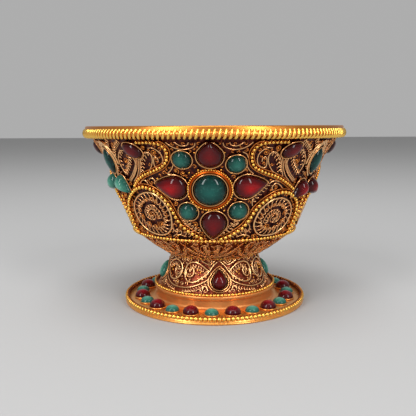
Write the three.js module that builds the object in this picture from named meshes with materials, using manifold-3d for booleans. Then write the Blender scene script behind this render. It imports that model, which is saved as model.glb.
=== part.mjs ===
// A footed offering cup in gilt filigree, set with round, oval and drop-shaped stones.
// Millimetres, +Z up. The origin is the middle of the face that the foot stands on.
// The wire work is drawn flat as strokes, joined, pierced where the stones sit and bent round the
// wall that carries it, which is how a filigree maker works.
import * as THREE from "three";
import { mergeVertices } from "three/addons/utils/BufferGeometryUtils.js";
import Module from "manifold-3d";

const wasm = await Module();
wasm.setup();

// Foot plate, with its ring of small stones
const plateRadius = 30.4;
const plateThickness = 1.5;
const plateHoleRadius = 17.2;
const plateEdgeRound = 0.4;
const plateWireSize = 1.3;
const plateStoneCount = 24;
const plateStoneRadius = 2.1;
const plateStoneDome = 1.6;

// Collar on the plate
const collarRadius = 19.6;
const collarHeight = 4.3;
const collarWall = 1.1;
const collarFlare = 0.9;
const collarLedge = 0.8;
const collarWireSize = 1.2;

// Stem
const stemHeight = 11.4;
const stemFootInset = 1.7;
const stemWaistRadius = 14.0;
const stemWall = 0.9;
const stemWireSize = 1.0;

// Cup
const cupWall = 0.9;
const cupFloorRadius = 15.4;
const cupFloorThickness = 1.2;
const calyxHeight = 8.0;
const calyxBulge = 0.3;
const hipRadius = 26.1;
const hipWireSize = 1.1;
const hipWireDrop = 0.4;
const wallHeight = 29.6;
const bellyRadius = 32.8;
const neckRadius = 32.7;
const mouthRadius = 38.9;
const throatChamfer = 0.7;
const ropeSize = 2.4;
const lipOverhang = 3.2;
const lipOverRope = 0.3;
const lipThickness = 1.1;

// Wire work
const seatGap = 0.3;
const stoneClearance = 0.3;
const bezelWidth = 0.5;
const bezelHeight = 1.2;
const frameWidth = 1.0;
const frameHeight = 1.35;
const scrollWidth = 0.5;
const scrollHeight = 0.9;
const wireStep = 4.6;

// Stones of the bowl
const panelCount = 3;
const girdle = 1.1;
const centreStoneRadius = 4.5;
const centreStoneDome = 2.4;
const centreCollarWidth = 1.6;
const dropStoneRadius = 3.5;
const sideDropReach = 6.2;
const upperDropReach = 4.9;
const lowerDropReach = 5.6;
const dropStoneDome = 2.2;
const roundStoneRadius = 2.6;
const roundStoneDome = 1.7;
const shoulderStoneLength = 6.8;
const shoulderStoneWidth = 4.6;
const shoulderStoneDome = 1.5;
const budStoneLength = 8.4;
const budStoneWidth = 5.0;
const budStoneDome = 1.5;
const leafStoneRadius = 2.4;
const leafStoneReach = 4.6;
const leafStoneDome = 2.6;

// Stones of the stem
const stemStoneCount = 4;
const stemStoneRadius = 2.4;
const stemStoneReach = 4.2;
const stemStoneDome = 1.4;

// How far the front panel and the front stem stone are turned from -Y, in degrees
const panelTurn = -2;
const stemTurn = 5.5;

// Roundness of what is turned
const turnSteps = 24;

// Levels, stacked up from the ground
const plateTop = plateThickness;
const collarTop = plateTop + collarHeight;
const cupFloor = collarTop + stemHeight;
const hipLevel = cupFloor + calyxHeight;
const wallTop = hipLevel + wallHeight;
const lipUnderside = wallTop + ropeSize + seatGap;
const rimLevel = lipUnderside + lipThickness;

// The stem stands on the collar, inside the collar's beads
const stemFootRadius = collarRadius - stemFootInset;

// The plate's stones stand midway between the collar and the edge beads
const plateStoneRing = (collarRadius + collarFlare + plateRadius - plateWireSize) / 2;

// The rope lies under the lip, round the cup's throat
const lipRadius = mouthRadius + lipOverhang;
const ropeRadius = lipRadius - lipOverRope;
const throatRadius = ropeRadius - ropeSize / 2 - seatGap;

const gold = new THREE.MeshStandardMaterial({ color: 0xd98f2f, roughness: 0.34, metalness: 1 });
const wireGold = new THREE.MeshStandardMaterial({ color: 0xd08a4a, roughness: 0.4, metalness: 1 });
const linerGold = new THREE.MeshStandardMaterial({ color: 0x8a4422, roughness: 0.45, metalness: 1 });
const greenStone = new THREE.MeshStandardMaterial({ color: 0x1f6b58, roughness: 0.15, metalness: 0 });
const redStone = new THREE.MeshStandardMaterial({ color: 0x6d1018, roughness: 0.12, metalness: 0 });

const degrees = THREE.MathUtils.degToRad;
const cup = new THREE.Group();

// Adds one named piece to the cup or to a turned group of it
function addPiece(name, geometry, material, parent = cup) {
  const piece = new THREE.Mesh(geometry, material);
  piece.name = name;
  parent.add(piece);
  return piece;
}

// A group that is turned round the cup's axis, from -Y towards +X
function turnedGroup(angle) {
  const group = new THREE.Group();
  group.rotation.z = angle;
  cup.add(group);
  return group;
}

// Joining and cutting

// The same closed surface with shared corners and without the flat triangles of a pole
function welded(geometry) {
  const bare = geometry.clone();
  bare.deleteAttribute("normal");
  bare.deleteAttribute("uv");
  const joined = mergeVertices(bare, 1e-4);
  const corners = joined.getIndex().array;
  const kept = [];
  for (let at = 0; at < corners.length; at += 3) {
    const [a, b, c] = [corners[at], corners[at + 1], corners[at + 2]];
    if (a !== b && b !== c && c !== a) {
      kept.push(a, b, c);
    }
  }
  joined.setIndex(kept);
  joined.computeVertexNormals();
  return joined;
}

function solidOf(geometry) {
  const joined = welded(geometry);
  const vertProperties = new Float32Array(joined.getAttribute("position").array);
  const triVerts = new Uint32Array(joined.getIndex().array);
  return new wasm.Manifold(new wasm.Mesh({ numProp: 3, vertProperties, triVerts }));
}

function geometryOf(solid) {
  const mesh = solid.getMesh();
  const geometry = new THREE.BufferGeometry();
  geometry.setAttribute("position", new THREE.BufferAttribute(mesh.vertProperties, 3));
  geometry.setIndex(Array.from(mesh.triVerts));
  geometry.computeVertexNormals();
  return geometry;
}

function allJoined(solids) {
  return solids.reduce((whole, next) => whole.add(next));
}

function allCut(solid, cutters) {
  return cutters.reduce((whole, next) => whole.subtract(next), solid);
}

// Turned pieces and lofts

// A ring or vessel turned round Z from an outline of (radius, height) points that runs up the
// outside and down the inside
function turned(outline) {
  const points = outline.map(([radius, height]) => new THREE.Vector2(radius, height));
  points.push(points[0].clone());
  const geometry = new THREE.LatheGeometry(points, turnSteps);
  geometry.rotateX(Math.PI / 2);
  return welded(geometry);
}

// A ring of round wire, flat below and above, so that it seats on a flat ledge
function ringWire(radius, size, underside, sides = 6) {
  const flat = Math.cos(Math.PI / sides);
  const outline = [];
  for (let side = 0; side < sides; side += 1) {
    const angle = ((side + 0.5) * 2 * Math.PI) / sides - Math.PI / 2;
    const reach = size / 2 / flat;
    outline.push([radius + reach * Math.cos(angle), underside + size / 2 + reach * Math.sin(angle)]);
  }
  return turned(outline);
}

// A closed surface from a flat base through rings of equal count to an apex
function lofted(rings, apex) {
  const count = rings[0].length;
  const corners = rings.flat();
  const index = [];
  for (let at = 1; at < count - 1; at += 1) {
    index.push(0, at + 1, at);
  }
  for (let at = 0; at < count; at += 1) {
    const next = (at + 1) % count;
    for (let low = 0; low < corners.length - count; low += count) {
      const high = low + count;
      index.push(low + at, low + next, high + next);
      index.push(low + at, high + next, high + at);
    }
    const top = corners.length - count;
    index.push(top + at, top + next, corners.length);
  }
  corners.push(apex);
  const geometry = new THREE.BufferGeometry().setFromPoints(corners);
  geometry.setIndex(index);
  geometry.computeVertexNormals();
  return geometry;
}

// The wall that wire work is bent round: a curve of (radius, height) turned round Z. A flat point
// is x, the way round in millimetres at the wall's middle, y up its slope, and h off its face.
class Wall {
  constructor(curve) {
    this.curve = curve;
    this.slope = curve.getLength();
    this.reference = curve.getPointAt(0.5).x;
  }

  // The share of the whole slope, held to the wall's ends
  shareAt(y) {
    return THREE.MathUtils.clamp(y / this.slope, 0, 1);
  }

  // How much wider a flat millimetre comes out at a distance up the slope
  widening(y) {
    return this.curve.getPointAt(this.shareAt(y)).x / this.reference;
  }

  // The distance up the slope at which the wall reaches a share of its height
  slopeTo(rise) {
    const [foot, top] = [this.curve.getPointAt(0).y, this.curve.getPointAt(1).y];
    const level = foot + (top - foot) * rise;
    let low = 0;
    let high = 1;
    for (let halving = 0; halving < 24; halving += 1) {
      const middle = (low + high) / 2;
      const below = this.curve.getPointAt(middle).y < level;
      low = below ? middle : low;
      high = below ? high : middle;
    }
    return low * this.slope;
  }

  // A point of the face, with the directions round the wall, up its slope and out of its face
  frameAt(x, y) {
    const foot = this.curve.getPointAt(this.shareAt(y));
    const along = this.curve.getTangentAt(this.shareAt(y));
    const [sine, cosine] = [Math.sin(x / this.reference), Math.cos(x / this.reference)];
    return {
      point: new THREE.Vector3(foot.x * sine, -foot.x * cosine, foot.y),
      round: new THREE.Vector3(cosine, sine, 0),
      up: new THREE.Vector3(along.x * sine, -along.x * cosine, along.y),
      out: new THREE.Vector3(along.y * sine, -along.y * cosine, -along.x),
    };
  }

  place(x, y, h) {
    const { point, out } = this.frameAt(x, y);
    return point.addScaledVector(out, h);
  }

  // Bends a flat geometry round the wall
  bent(geometry) {
    const result = geometry.clone();
    const corners = result.getAttribute("position");
    for (let at = 0; at < corners.count; at += 1) {
      const spot = this.place(corners.getX(at), corners.getY(at), corners.getZ(at));
      corners.setXYZ(at, spot.x, spot.y, spot.z);
    }
    return welded(result);
  }

  // An outline in true millimetres, turned anticlockwise and laid flat round a middle
  laid(outline, middle, turn) {
    return outline.map((corner) => {
      const offset = corner.clone().rotateAround(new THREE.Vector2(0, 0), turn);
      const y = middle.y + offset.y;
      return new THREE.Vector2(middle.x + offset.x / this.widening(y), y);
    });
  }
}

// Wire, drawn flat on a wall

function flatSolid(outline, low, high) {
  const shape = new THREE.Shape(outline);
  const geometry = new THREE.ExtrudeGeometry(shape, { depth: high - low, bevelEnabled: false, steps: 1 });
  geometry.translate(0, 0, low);
  return solidOf(geometry);
}

// A wire along a smooth curve through flat points, cut square at its ends or closed on itself. It
// is joined from one block for each step, so that it may cross itself.
function wire(wall, points, { width = scrollWidth, height = scrollHeight, closed = false } = {}) {
  const spots = points.map((point) => new THREE.Vector3(point.x, point.y, 0));
  const curve = new THREE.CatmullRomCurve3(spots, closed, "centripetal");
  const steps = points.length === 2 ? 1 : Math.max(3, Math.round(curve.getLength() / wireStep));
  const sides = [];
  for (let step = 0; step <= steps; step += 1) {
    const share = closed ? (step % steps) / steps : step / steps;
    const spot = curve.getPointAt(share);
    const along = curve.getTangentAt(share);
    const widening = wall.widening(spot.y);
    const across = new THREE.Vector2(-along.y, along.x * widening).setLength(width / 2);
    across.x /= widening;
    const middle = new THREE.Vector2(spot.x, spot.y);
    sides.push([middle.clone().add(across), middle.clone().sub(across)]);
  }
  const blocks = sides.slice(1).map(([left, right], step) => {
    return flatSolid([sides[step][0], sides[step][1], right, left], seatGap, seatGap + height);
  });
  return allJoined(blocks);
}

const frameWire = { width: frameWidth, height: frameHeight };

// The flat points of a stroke, each given as a share of a sector and a share of the wall's height
function spotsOn(wall, sector, points, side = 1) {
  return points.map(([share, rise]) => new THREE.Vector2(side * share * sector, wall.slopeTo(rise)));
}

// Stone outlines, each a function of how far it is grown

function roundOutline(radius, corners) {
  return (grow) => {
    const outline = [];
    for (let corner = 0; corner < corners; corner += 1) {
      const angle = ((corner + 0.5) * 2 * Math.PI) / corners;
      outline.push(new THREE.Vector2(Math.cos(angle), Math.sin(angle)).multiplyScalar(radius + grow));
    }
    return outline;
  };
}

function ovalOutline(length, width, corners) {
  return (grow) => {
    const stretch = new THREE.Vector2(width / 2 + grow, length / 2 + grow);
    return roundOutline(1, corners)(0).map((corner) => corner.multiply(stretch));
  };
}

// A drop with its round head on the middle and its tip upwards
function dropOutline(radius, reach, headCorners) {
  const tipGrowth = 1.2;
  const flankShare = 0.5;
  const flankBulge = 0.1;
  return (grow) => {
    const size = radius + grow;
    const tip = new THREE.Vector2(0, reach + grow * tipGrowth);
    const shoulder = Math.acos(size / tip.y);
    const head = [];
    for (let corner = 0; corner < headCorners; corner += 1) {
      const turn = shoulder + ((2 * Math.PI - 2 * shoulder) * corner) / (headCorners - 1);
      head.push(new THREE.Vector2(-size * Math.sin(turn), size * Math.cos(turn)));
    }
    const flank = head[0].clone().lerp(tip, flankShare);
    flank.x -= flankBulge * radius;
    return [tip, flank, ...head, new THREE.Vector2(-flank.x, flank.y)];
  };
}

// A pointed bud between two arcs, with its tips up and down
function budOutline(length, width, cornersPerSide) {
  return (grow) => {
    const outline = [];
    for (let corner = 0; corner < 2 * cornersPerSide; corner += 1) {
      const angle = (corner * Math.PI) / cornersPerSide;
      const x = -(width / 2 + grow) * Math.sin(angle);
      outline.push(new THREE.Vector2(x, (length / 2 + grow) * Math.cos(angle)));
    }
    return outline;
  };
}

// A domed stone on a flat base. A large one has an upright girdle under its dome.
function cabochon(outline, dome, upright) {
  const shoulderShare = 0.72;
  const shoulderRise = 0.65;
  const corners = outline(0);
  const middle = corners.reduce((sum, corner) => sum.add(corner), new THREE.Vector2());
  middle.divideScalar(corners.length);
  const ring = (share, height) => corners.map((corner) => {
    const spot = middle.clone().lerp(corner, share);
    return new THREE.Vector3(spot.x, spot.y, height);
  });
  const rings = [ring(1, 0), ring(shoulderShare, girdle + dome * shoulderRise)];
  if (upright) {
    rings.splice(1, 0, ring(1, girdle));
  }
  return lofted(rings, new THREE.Vector3(middle.x, middle.y, girdle + dome));
}

// A setting is where a stone sits on a wall, which way its tip is turned, and its form
function settingAt(wall, middle, turn, outline, dome) {
  return { wall, middle, turn, outline, dome };
}

// The height at which a stone's flat base clears the wall all round
function seatHeight({ wall, middle, turn, outline }) {
  const { point, out } = wall.frameAt(middle.x, middle.y);
  const rises = wall.laid(outline(0), middle, turn).map((corner) => {
    return wall.place(corner.x, corner.y, 0).sub(point).dot(out);
  });
  return seatGap + Math.max(0, ...rises);
}

function addStone(name, setting, material, parent) {
  const { wall, middle, turn, outline, dome } = setting;
  const stone = addPiece(name, cabochon(outline, dome, outline(0).length > 8), material, parent);
  const { point, round, up, out } = wall.frameAt(middle.x, middle.y);
  const basis = new THREE.Matrix4().makeBasis(round, up, out);
  basis.multiply(new THREE.Matrix4().makeRotationZ(turn));
  stone.quaternion.setFromRotationMatrix(basis);
  stone.position.copy(point).addScaledVector(out, seatHeight(setting));
}

// The collar of metal that holds a stone, before it is pierced
function bezel({ wall, middle, turn, outline }, width = bezelWidth) {
  const collar = wall.laid(outline(stoneClearance + width), middle, turn);
  return flatSolid(collar, seatGap, seatGap + bezelHeight);
}

// The room that a stone, or a stone with its bezel, takes out of the wire work
function pocket({ wall, middle, turn, outline }, room = stoneClearance) {
  const top = seatGap + bezelHeight + frameHeight;
  return flatSolid(wall.laid(outline(room), middle, turn), 0, top);
}

// Foot

function footPlate() {
  const plate = turned([
    [plateHoleRadius, 0],
    [plateRadius - plateEdgeRound, 0],
    [plateRadius, plateEdgeRound],
    [plateRadius, plateTop],
    [plateHoleRadius, plateTop],
  ]);
  const outline = roundOutline(plateStoneRadius, 6);
  const solids = [solidOf(plate)];
  for (let index = 0; index < plateStoneCount; index += 1) {
    const stone = cabochon(outline, plateStoneDome, false);
    stone.translate(0, -plateStoneRing, plateTop - girdle / 2);
    stone.rotateZ(degrees(panelTurn) + (index * 2 * Math.PI) / plateStoneCount);
    solids.push(solidOf(stone));
  }
  return geometryOf(allJoined(solids));
}

function footCollar() {
  const mouth = stemFootRadius - stemWall;
  const inside = collarRadius - collarWall;
  return turned([
    [inside, plateTop],
    [collarRadius + collarFlare, plateTop],
    [collarRadius, plateTop + collarFlare],
    [collarRadius, collarTop - 2 * collarLedge],
    [collarRadius + collarLedge, collarTop - collarLedge],
    [collarRadius + collarLedge, collarTop],
    [mouth, collarTop],
    [mouth, collarTop - collarWall],
    [inside, collarTop - collarWall],
  ]);
}

function addFoot() {
  addPiece("foot_plate", footPlate(), gold);
  addPiece("foot_edge_beads", ringWire(plateRadius - plateWireSize / 2, plateWireSize, plateTop), gold);
  addPiece("foot_collar", footCollar(), gold);
  const beadRadius = collarRadius + collarLedge - collarWireSize / 2;
  addPiece("collar_beads", ringWire(beadRadius, collarWireSize, collarTop), gold);
}

// Stem

function stemCurve() {
  const foot = new THREE.Vector2(stemFootRadius, collarTop);
  const bend = new THREE.Vector2(stemWaistRadius, collarTop + stemHeight / 2);
  const waist = new THREE.Vector2(stemWaistRadius, cupFloor);
  return new THREE.QuadraticBezierCurve(foot, bend, waist);
}

function stemSleeve() {
  const outside = stemCurve().getPoints(3).map((point) => [point.x, point.y]);
  const inside = outside.map(([radius, height]) => [radius - stemWall, height]);
  return turned([...outside, ...inside.reverse()]);
}

// The leaves that lean away from both sides of a stone, each with its curl and a stalk to the next
function stemLeaves(wall, sector) {
  const leaf = [[0.16, 0.6], [0.25, 0.38], [0.4, 0.22], [0.57, 0.2], [0.7, 0.34], [0.7, 0.55]];
  leaf.push([0.58, 0.72], [0.42, 0.77], [0.27, 0.71]);
  const curl = [[0.71, 0.44], [0.62, 0.32], [0.5, 0.36], [0.46, 0.5], [0.52, 0.6], [0.6, 0.52]];
  const stalk = [[0.68, 0.42], [0.85, 0.36], [1, 0.42]];
  const nib = [[0, 0.42], [0.25, 0.4]];
  const wires = [];
  for (const side of [-1, 1]) {
    wires.push(wire(wall, spotsOn(wall, sector, leaf, side), { closed: true }));
    for (const stroke of [curl, stalk, nib]) {
      wires.push(wire(wall, spotsOn(wall, sector, stroke, side)));
    }
  }
  return wires;
}

function addStem() {
  addPiece("stem_sleeve", stemSleeve(), gold);
  const wall = new Wall(stemCurve());
  const sector = (2 * Math.PI * wall.reference) / stemStoneCount;
  const seat = 2 * seatGap + stemStoneRadius + stoneClearance + bezelWidth;
  const outline = dropOutline(stemStoneRadius, stemStoneReach, 5);
  const settings = [-1, 0, 1].map((place) => {
    return settingAt(wall, new THREE.Vector2(place * sector, seat), 0, outline, stemStoneDome);
  });
  const net = allJoined([...stemLeaves(wall, sector), bezel(settings[1]), bezel(settings[2])]);
  const pair = wall.bent(geometryOf(allCut(net, settings.map((setting) => pocket(setting)))));
  const solids = [];
  const stem = turnedGroup(degrees(stemTurn));
  for (let index = 0; index < stemStoneCount; index += 1) {
    const angle = (index * 2 * Math.PI) / stemStoneCount;
    if (index % 2 === 0) {
      const copy = pair.clone();
      copy.rotateZ(angle);
      solids.push(solidOf(copy));
    }
    const place = turnedGroup(degrees(stemTurn) + angle);
    addStone(`stem_stone_${index + 1}`, settings[1], index % 2 === 0 ? redStone : greenStone, place);
  }
  addPiece("stem_filigree", geometryOf(allJoined(solids)), wireGold, stem);
  const wireRadius = stemWaistRadius + seatGap + stemWireSize / 2;
  addPiece("stem_top_beads", ringWire(wireRadius, stemWireSize, cupFloor - stemWireSize), gold);
}

// Cup

function calyxCurve() {
  const foot = new THREE.Vector2(cupFloorRadius, cupFloor);
  const hip = new THREE.Vector2(hipRadius, hipLevel);
  const bend = foot.clone().lerp(hip, 0.5);
  bend.x += calyxBulge;
  bend.y -= calyxBulge;
  return new THREE.QuadraticBezierCurve(foot, bend, hip);
}

function bowlCurve() {
  const bellyRise = 0.42;
  const neckRise = 0.75;
  const hip = new THREE.Vector2(hipRadius, hipLevel);
  const belly = new THREE.Vector2(bellyRadius, hipLevel + wallHeight * bellyRise);
  const neck = new THREE.Vector2(neckRadius, hipLevel + wallHeight * neckRise);
  const mouth = new THREE.Vector2(mouthRadius, wallTop);
  return new THREE.CubicBezierCurve(hip, belly, neck, mouth);
}

// The plain cup inside, turned in one with its lip
function innerCup() {
  const calyx = new Wall(calyxCurve());
  const bowl = new Wall(bowlCurve());
  const face = (wall, steps, depth) => {
    const points = [];
    for (let step = 0; step <= steps; step += 1) {
      const spot = wall.place(0, (wall.slope * step) / steps, -depth);
      points.push([-spot.y, spot.z]);
    }
    return points;
  };
  const outside = [...face(calyx, 1, 0), ...face(bowl, 5, 0).slice(1)];
  const inside = face(bowl, 5, cupWall);
  const throatFoot = lipUnderside - throatChamfer;
  return turned([
    [0, cupFloor],
    ...outside,
    [throatRadius, throatFoot],
    [throatRadius, lipUnderside],
    [lipRadius, lipUnderside],
    [lipRadius, rimLevel],
    [throatRadius - cupWall, rimLevel],
    [throatRadius - cupWall, throatFoot],
    ...inside.reverse(),
    [cupFloorRadius, cupFloor + cupFloorThickness],
    [0, cupFloor + cupFloorThickness],
  ]);
}

// The garland under the bowl: loops that cross their neighbours, with a curl in each
function calyxFiligree() {
  const groupCount = 3;
  const loopsPerGroup = 3;
  const wall = new Wall(calyxCurve());
  const sector = (2 * Math.PI * wall.reference) / (groupCount * loopsPerGroup);
  const swag = [[-0.56, 0.93], [-0.44, 0.5], [-0.2, 0.2], [0, 0.13], [0.2, 0.2], [0.44, 0.5], [0.56, 0.93]];
  const curl = [[0, 0.13], [0.2, 0.36], [0.22, 0.66], [0.02, 0.82], [-0.17, 0.68], [-0.1, 0.48]];
  const wires = [];
  for (let loop = 0; loop < loopsPerGroup; loop += 1) {
    for (const stroke of [swag, curl]) {
      wires.push(wire(wall, spotsOn(wall, sector, stroke.map(([share, rise]) => [share + loop, rise]))));
    }
  }
  const group = wall.bent(geometryOf(allJoined(wires)));
  const solids = [];
  for (let index = 0; index < groupCount; index += 1) {
    const copy = group.clone();
    copy.rotateZ((index * 2 * Math.PI) / groupCount);
    solids.push(solidOf(copy));
  }
  return geometryOf(allJoined(solids));
}

// How far up or down the pair of stones at each pillar between two panels was set, as a share of
// the bowl's height
const pillarLifts = [-0.012, 0.01, 0.036];

// The spots of a panel's stones. The cup was made by hand, so the left side differs from the right.
// Those round the centre stone are shares of the drops' distance, across and up. The others are
// shares of the panel's half width and of the bowl's height.
const panelSpots = {
  left: {
    drop: [-0.96, 0.07],
    upperRound: [-0.745, 0.93],
    lowerRound: [-0.615, -0.67],
    shoulder: [-0.597, 0.916],
  },
  right: {
    drop: [0.995, 0.09],
    upperRound: [0.715, 0.79],
    lowerRound: [0.77, -0.65],
    shoulder: [0.627, 0.916],
  },
};

// The settings of one bowl panel. The drops stand round the centre stone's collar, with the round
// stones between them.
function panelSettings(wall, half, index) {
  const centreRise = 0.53;
  const topDropSpot = [0.012, 1.04];
  const bottomDropSpot = [0.094, -1.01];
  const bottomDropTurn = Math.PI - degrees(4);
  const sideDropTilt = degrees(11);
  const shoulderTilt = degrees(61);
  const leafStoneTilt = degrees(130);
  const budRise = 0.79;
  const headCorners = 5;
  const middle = wall.slopeTo(centreRise);
  const around = centreStoneRadius + centreCollarWidth + 2 * stoneClearance + dropStoneRadius;
  const beside = leafStoneRadius + stoneClearance + bezelWidth + seatGap / 2;
  const from = ([acrossShare, riseShare]) => {
    const y = middle + riseShare * around;
    return new THREE.Vector2((acrossShare * around) / wall.widening(y), y);
  };
  const settings = {};
  const set = (name, material, dome, outline, spot, turn = 0) => {
    settings[name] = { ...settingAt(wall, spot, turn, outline, dome), material };
  };
  const drop = (reach) => dropOutline(dropStoneRadius, reach, headCorners);
  const round = roundOutline(roundStoneRadius, 6);
  const shoulder = ovalOutline(shoulderStoneLength, shoulderStoneWidth, 7);
  const leaf = dropOutline(leafStoneRadius, leafStoneReach, headCorners);
  const bud = budOutline(budStoneLength, budStoneWidth, 3);
  set("centre_stone", greenStone, centreStoneDome, roundOutline(centreStoneRadius, 10), from([0, 0]));
  set("drop_stone_top", redStone, dropStoneDome, drop(upperDropReach), from(topDropSpot));
  const lowerDrop = drop(lowerDropReach);
  set("drop_stone_bottom", redStone, dropStoneDome, lowerDrop, from(bottomDropSpot), bottomDropTurn);
  for (const [side, hand] of [[-1, "left"], [1, "right"]]) {
    const spots = panelSpots[hand];
    const lying = -side * (Math.PI / 2 - sideDropTilt);
    const pillar = (index + (side < 0 ? panelCount - 1 : 0)) % panelCount;
    const leafRise = wall.slopeTo(centreRise + pillarLifts[pillar]);
    const leafAt = new THREE.Vector2(side * (half - beside / wall.widening(leafRise)), leafRise);
    const leafMaterial = pillar === 0 ? redStone : greenStone;
    const shoulderAt = spotsOn(wall, half, [spots.shoulder])[0];
    set(`drop_stone_${hand}`, redStone, dropStoneDome, drop(sideDropReach), from(spots.drop), lying);
    set(`round_stone_upper_${hand}`, greenStone, roundStoneDome, round, from(spots.upperRound));
    set(`round_stone_lower_${hand}`, greenStone, roundStoneDome, round, from(spots.lowerRound));
    set(`shoulder_stone_${hand}`, redStone, shoulderStoneDome, shoulder, shoulderAt, -side * shoulderTilt);
    set(`leaf_stone_${hand}`, leafMaterial, leafStoneDome, leaf, leafAt, side * leafStoneTilt);
  }
  set("bud_stone", greenStone, budStoneDome, bud, new THREE.Vector2(half, wall.slopeTo(budRise)));
  return settings;
}

// The frames of a panel's halves, as shares of its half width and of the bowl's height
const panelFrames = {
  left: {
    scroll: [
      [0.52, 0.985], [0.42, 0.99], [0.345, 0.97], [0.305, 0.92], [0.32, 0.825], [0.37, 0.76],
      [0.45, 0.715], [0.57, 0.66], [0.645, 0.61], [0.71, 0.545],
    ],
    leaf: [
      [0.96, 0.03], [0.963, 0.11], [0.957, 0.21], [0.93, 0.3], [0.88, 0.375], [0.79, 0.455], [0.68, 0.52],
      [0.59, 0.54], [0.5, 0.515], [0.435, 0.465], [0.385, 0.4], [0.35, 0.32], [0.317, 0.235],
      [0.28, 0.165], [0.22, 0.11], [0.145, 0.06],
    ],
    egg: [
      [0.38, 0.265], [0.435, 0.41], [0.56, 0.485], [0.7, 0.445], [0.82, 0.33], [0.84, 0.2],
      [0.76, 0.08], [0.6, 0.045], [0.45, 0.08],
    ],
  },
  right: {
    scroll: [
      [0.55, 0.985], [0.435, 0.99], [0.35, 0.97], [0.308, 0.92], [0.307, 0.84], [0.34, 0.76],
      [0.425, 0.705], [0.55, 0.65], [0.667, 0.585], [0.775, 0.515],
    ],
    leaf: [
      [0.96, 0.03], [0.963, 0.11], [0.957, 0.21], [0.93, 0.3], [0.875, 0.385], [0.78, 0.45], [0.69, 0.48],
      [0.6, 0.475], [0.525, 0.44], [0.46, 0.39], [0.385, 0.285], [0.35, 0.21], [0.308, 0.15],
      [0.228, 0.09], [0.15, 0.05],
    ],
    egg: [
      [0.42, 0.18], [0.46, 0.315], [0.58, 0.415], [0.7, 0.415], [0.825, 0.33], [0.87, 0.2],
      [0.8, 0.08], [0.63, 0.04], [0.48, 0.07],
    ],
  },
};

// The curls and stems of both halves
const panelCurls = [
  [
    [0.96, 0.2], [0.86, 0.22], [0.75, 0.34], [0.62, 0.35],
    [0.53, 0.25], [0.57, 0.15], [0.68, 0.14], [0.7, 0.22],
  ],
  [[0.43, 0.7], [0.39, 0.75], [0.36, 0.83], [0.38, 0.91], [0.45, 0.93]],
  [[0.55, 0.655], [0.475, 0.745], [0.455, 0.83], [0.49, 0.88], [0.545, 0.84], [0.58, 0.76], [0.61, 0.65]],
  [
    [0.71, 0.55], [0.69, 0.66], [0.63, 0.75], [0.65, 0.84],
    [0.73, 0.89], [0.81, 0.84], [0.83, 0.75], [0.79, 0.66],
  ],
  [[0.62, 0.88], [0.61, 0.76], [0.65, 0.6]],
  [[0.42, 0.53], [0.48, 0.57], [0.55, 0.55], [0.58, 0.48]],
  [[0.33, 0.2], [0.26, 0.22], [0.24, 0.15], [0.3, 0.12]],
  [[0.65, 0.71], [1, 0.79]],
];

// The collars that a short stem joins, each to another stone's collar or to a spot on a frame
function panelJoints(hand) {
  return [
    [`round_stone_upper_${hand}`, "centre_stone"],
    [`round_stone_lower_${hand}`, "centre_stone"],
    [`round_stone_upper_${hand}`, "drop_stone_top"],
    [`round_stone_lower_${hand}`, "drop_stone_bottom"],
    [`round_stone_upper_${hand}`, [0.33, 0.8]],
    [`round_stone_lower_${hand}`, [0.4, 0.3]],
    [`drop_stone_${hand}`, [0.71, 0.55]],
    [`leaf_stone_${hand}`, [0.8, 0.45]],
  ];
}

// The frames, curls and stems of wire on both halves of a panel
function panelWires(wall, half, settings) {
  const wires = [];
  for (const [side, hand] of [[-1, "left"], [1, "right"]]) {
    const draw = (stroke, options) => wires.push(wire(wall, spotsOn(wall, half, stroke, side), options));
    const { scroll, leaf, egg } = panelFrames[hand];
    draw(scroll, frameWire);
    draw(leaf, frameWire);
    draw(egg, { closed: true });
    panelCurls.forEach((stroke) => draw(stroke));
    for (const [name, end] of panelJoints(hand)) {
      const spot = settings[end]?.middle ?? spotsOn(wall, half, [end], side)[0];
      wires.push(wire(wall, [settings[name].middle, spot]));
    }
  }
  return wires;
}

// One panel's wire work as a single body. It holds the bud on its right edge and leaves room for
// the bud of the panel on its left.
function panelFiligree(wall, half, settings) {
  const foot = hipWireSize + seatGap;
  const top = wall.slope - seatGap;
  const edge = half - seatGap / 2;
  const tall = 4 * (seatGap + frameHeight);
  const { centre_stone: centre, bud_stone: bud, ...others } = settings;
  const nextBud = { ...bud, middle: new THREE.Vector2(-half, bud.middle.y) };
  const collars = Object.values(others).map((setting) => bezel(setting));
  collars.push(bezel(centre, centreCollarWidth));
  const sector = new THREE.BoxGeometry(2 * edge, top - foot, tall);
  sector.translate(0, (top + foot) / 2, 0);
  const drawn = allJoined([...panelWires(wall, half, settings), ...collars]).intersect(solidOf(sector));
  const whole = drawn.subtract(pocket(nextBud, stoneClearance + bezelWidth + seatGap)).add(bezel(bud));
  return wall.bent(geometryOf(allCut(whole, Object.values(settings).map((setting) => pocket(setting)))));
}

function addPanels() {
  const wall = new Wall(bowlCurve());
  const half = (Math.PI * wall.reference) / panelCount;
  for (let index = 0; index < panelCount; index += 1) {
    const settings = panelSettings(wall, half, index);
    const filigree = panelFiligree(wall, half, settings);
    const place = turnedGroup(degrees(panelTurn) + (index * 2 * Math.PI) / panelCount);
    addPiece(`bowl_filigree_${index + 1}`, filigree, wireGold, place);
    for (const [name, setting] of Object.entries(settings)) {
      addStone(`${name}_${index + 1}`, setting, setting.material, place);
    }
  }
}

function addCup() {
  addPiece("inner_cup", innerCup(), linerGold);
  addPiece("rim_rope", ringWire(ropeRadius, ropeSize, wallTop, 8), gold);
  const beadRadius = hipRadius + seatGap + hipWireSize / 2;
  const beadUnderside = hipLevel - hipWireDrop - hipWireSize / 2;
  addPiece("border_beads", ringWire(beadRadius, hipWireSize, beadUnderside), gold);
  addPiece("calyx_filigree", calyxFiligree(), wireGold);
  addPanels();
}

addFoot();
addStem();
addCup();

export default cup;
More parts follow.
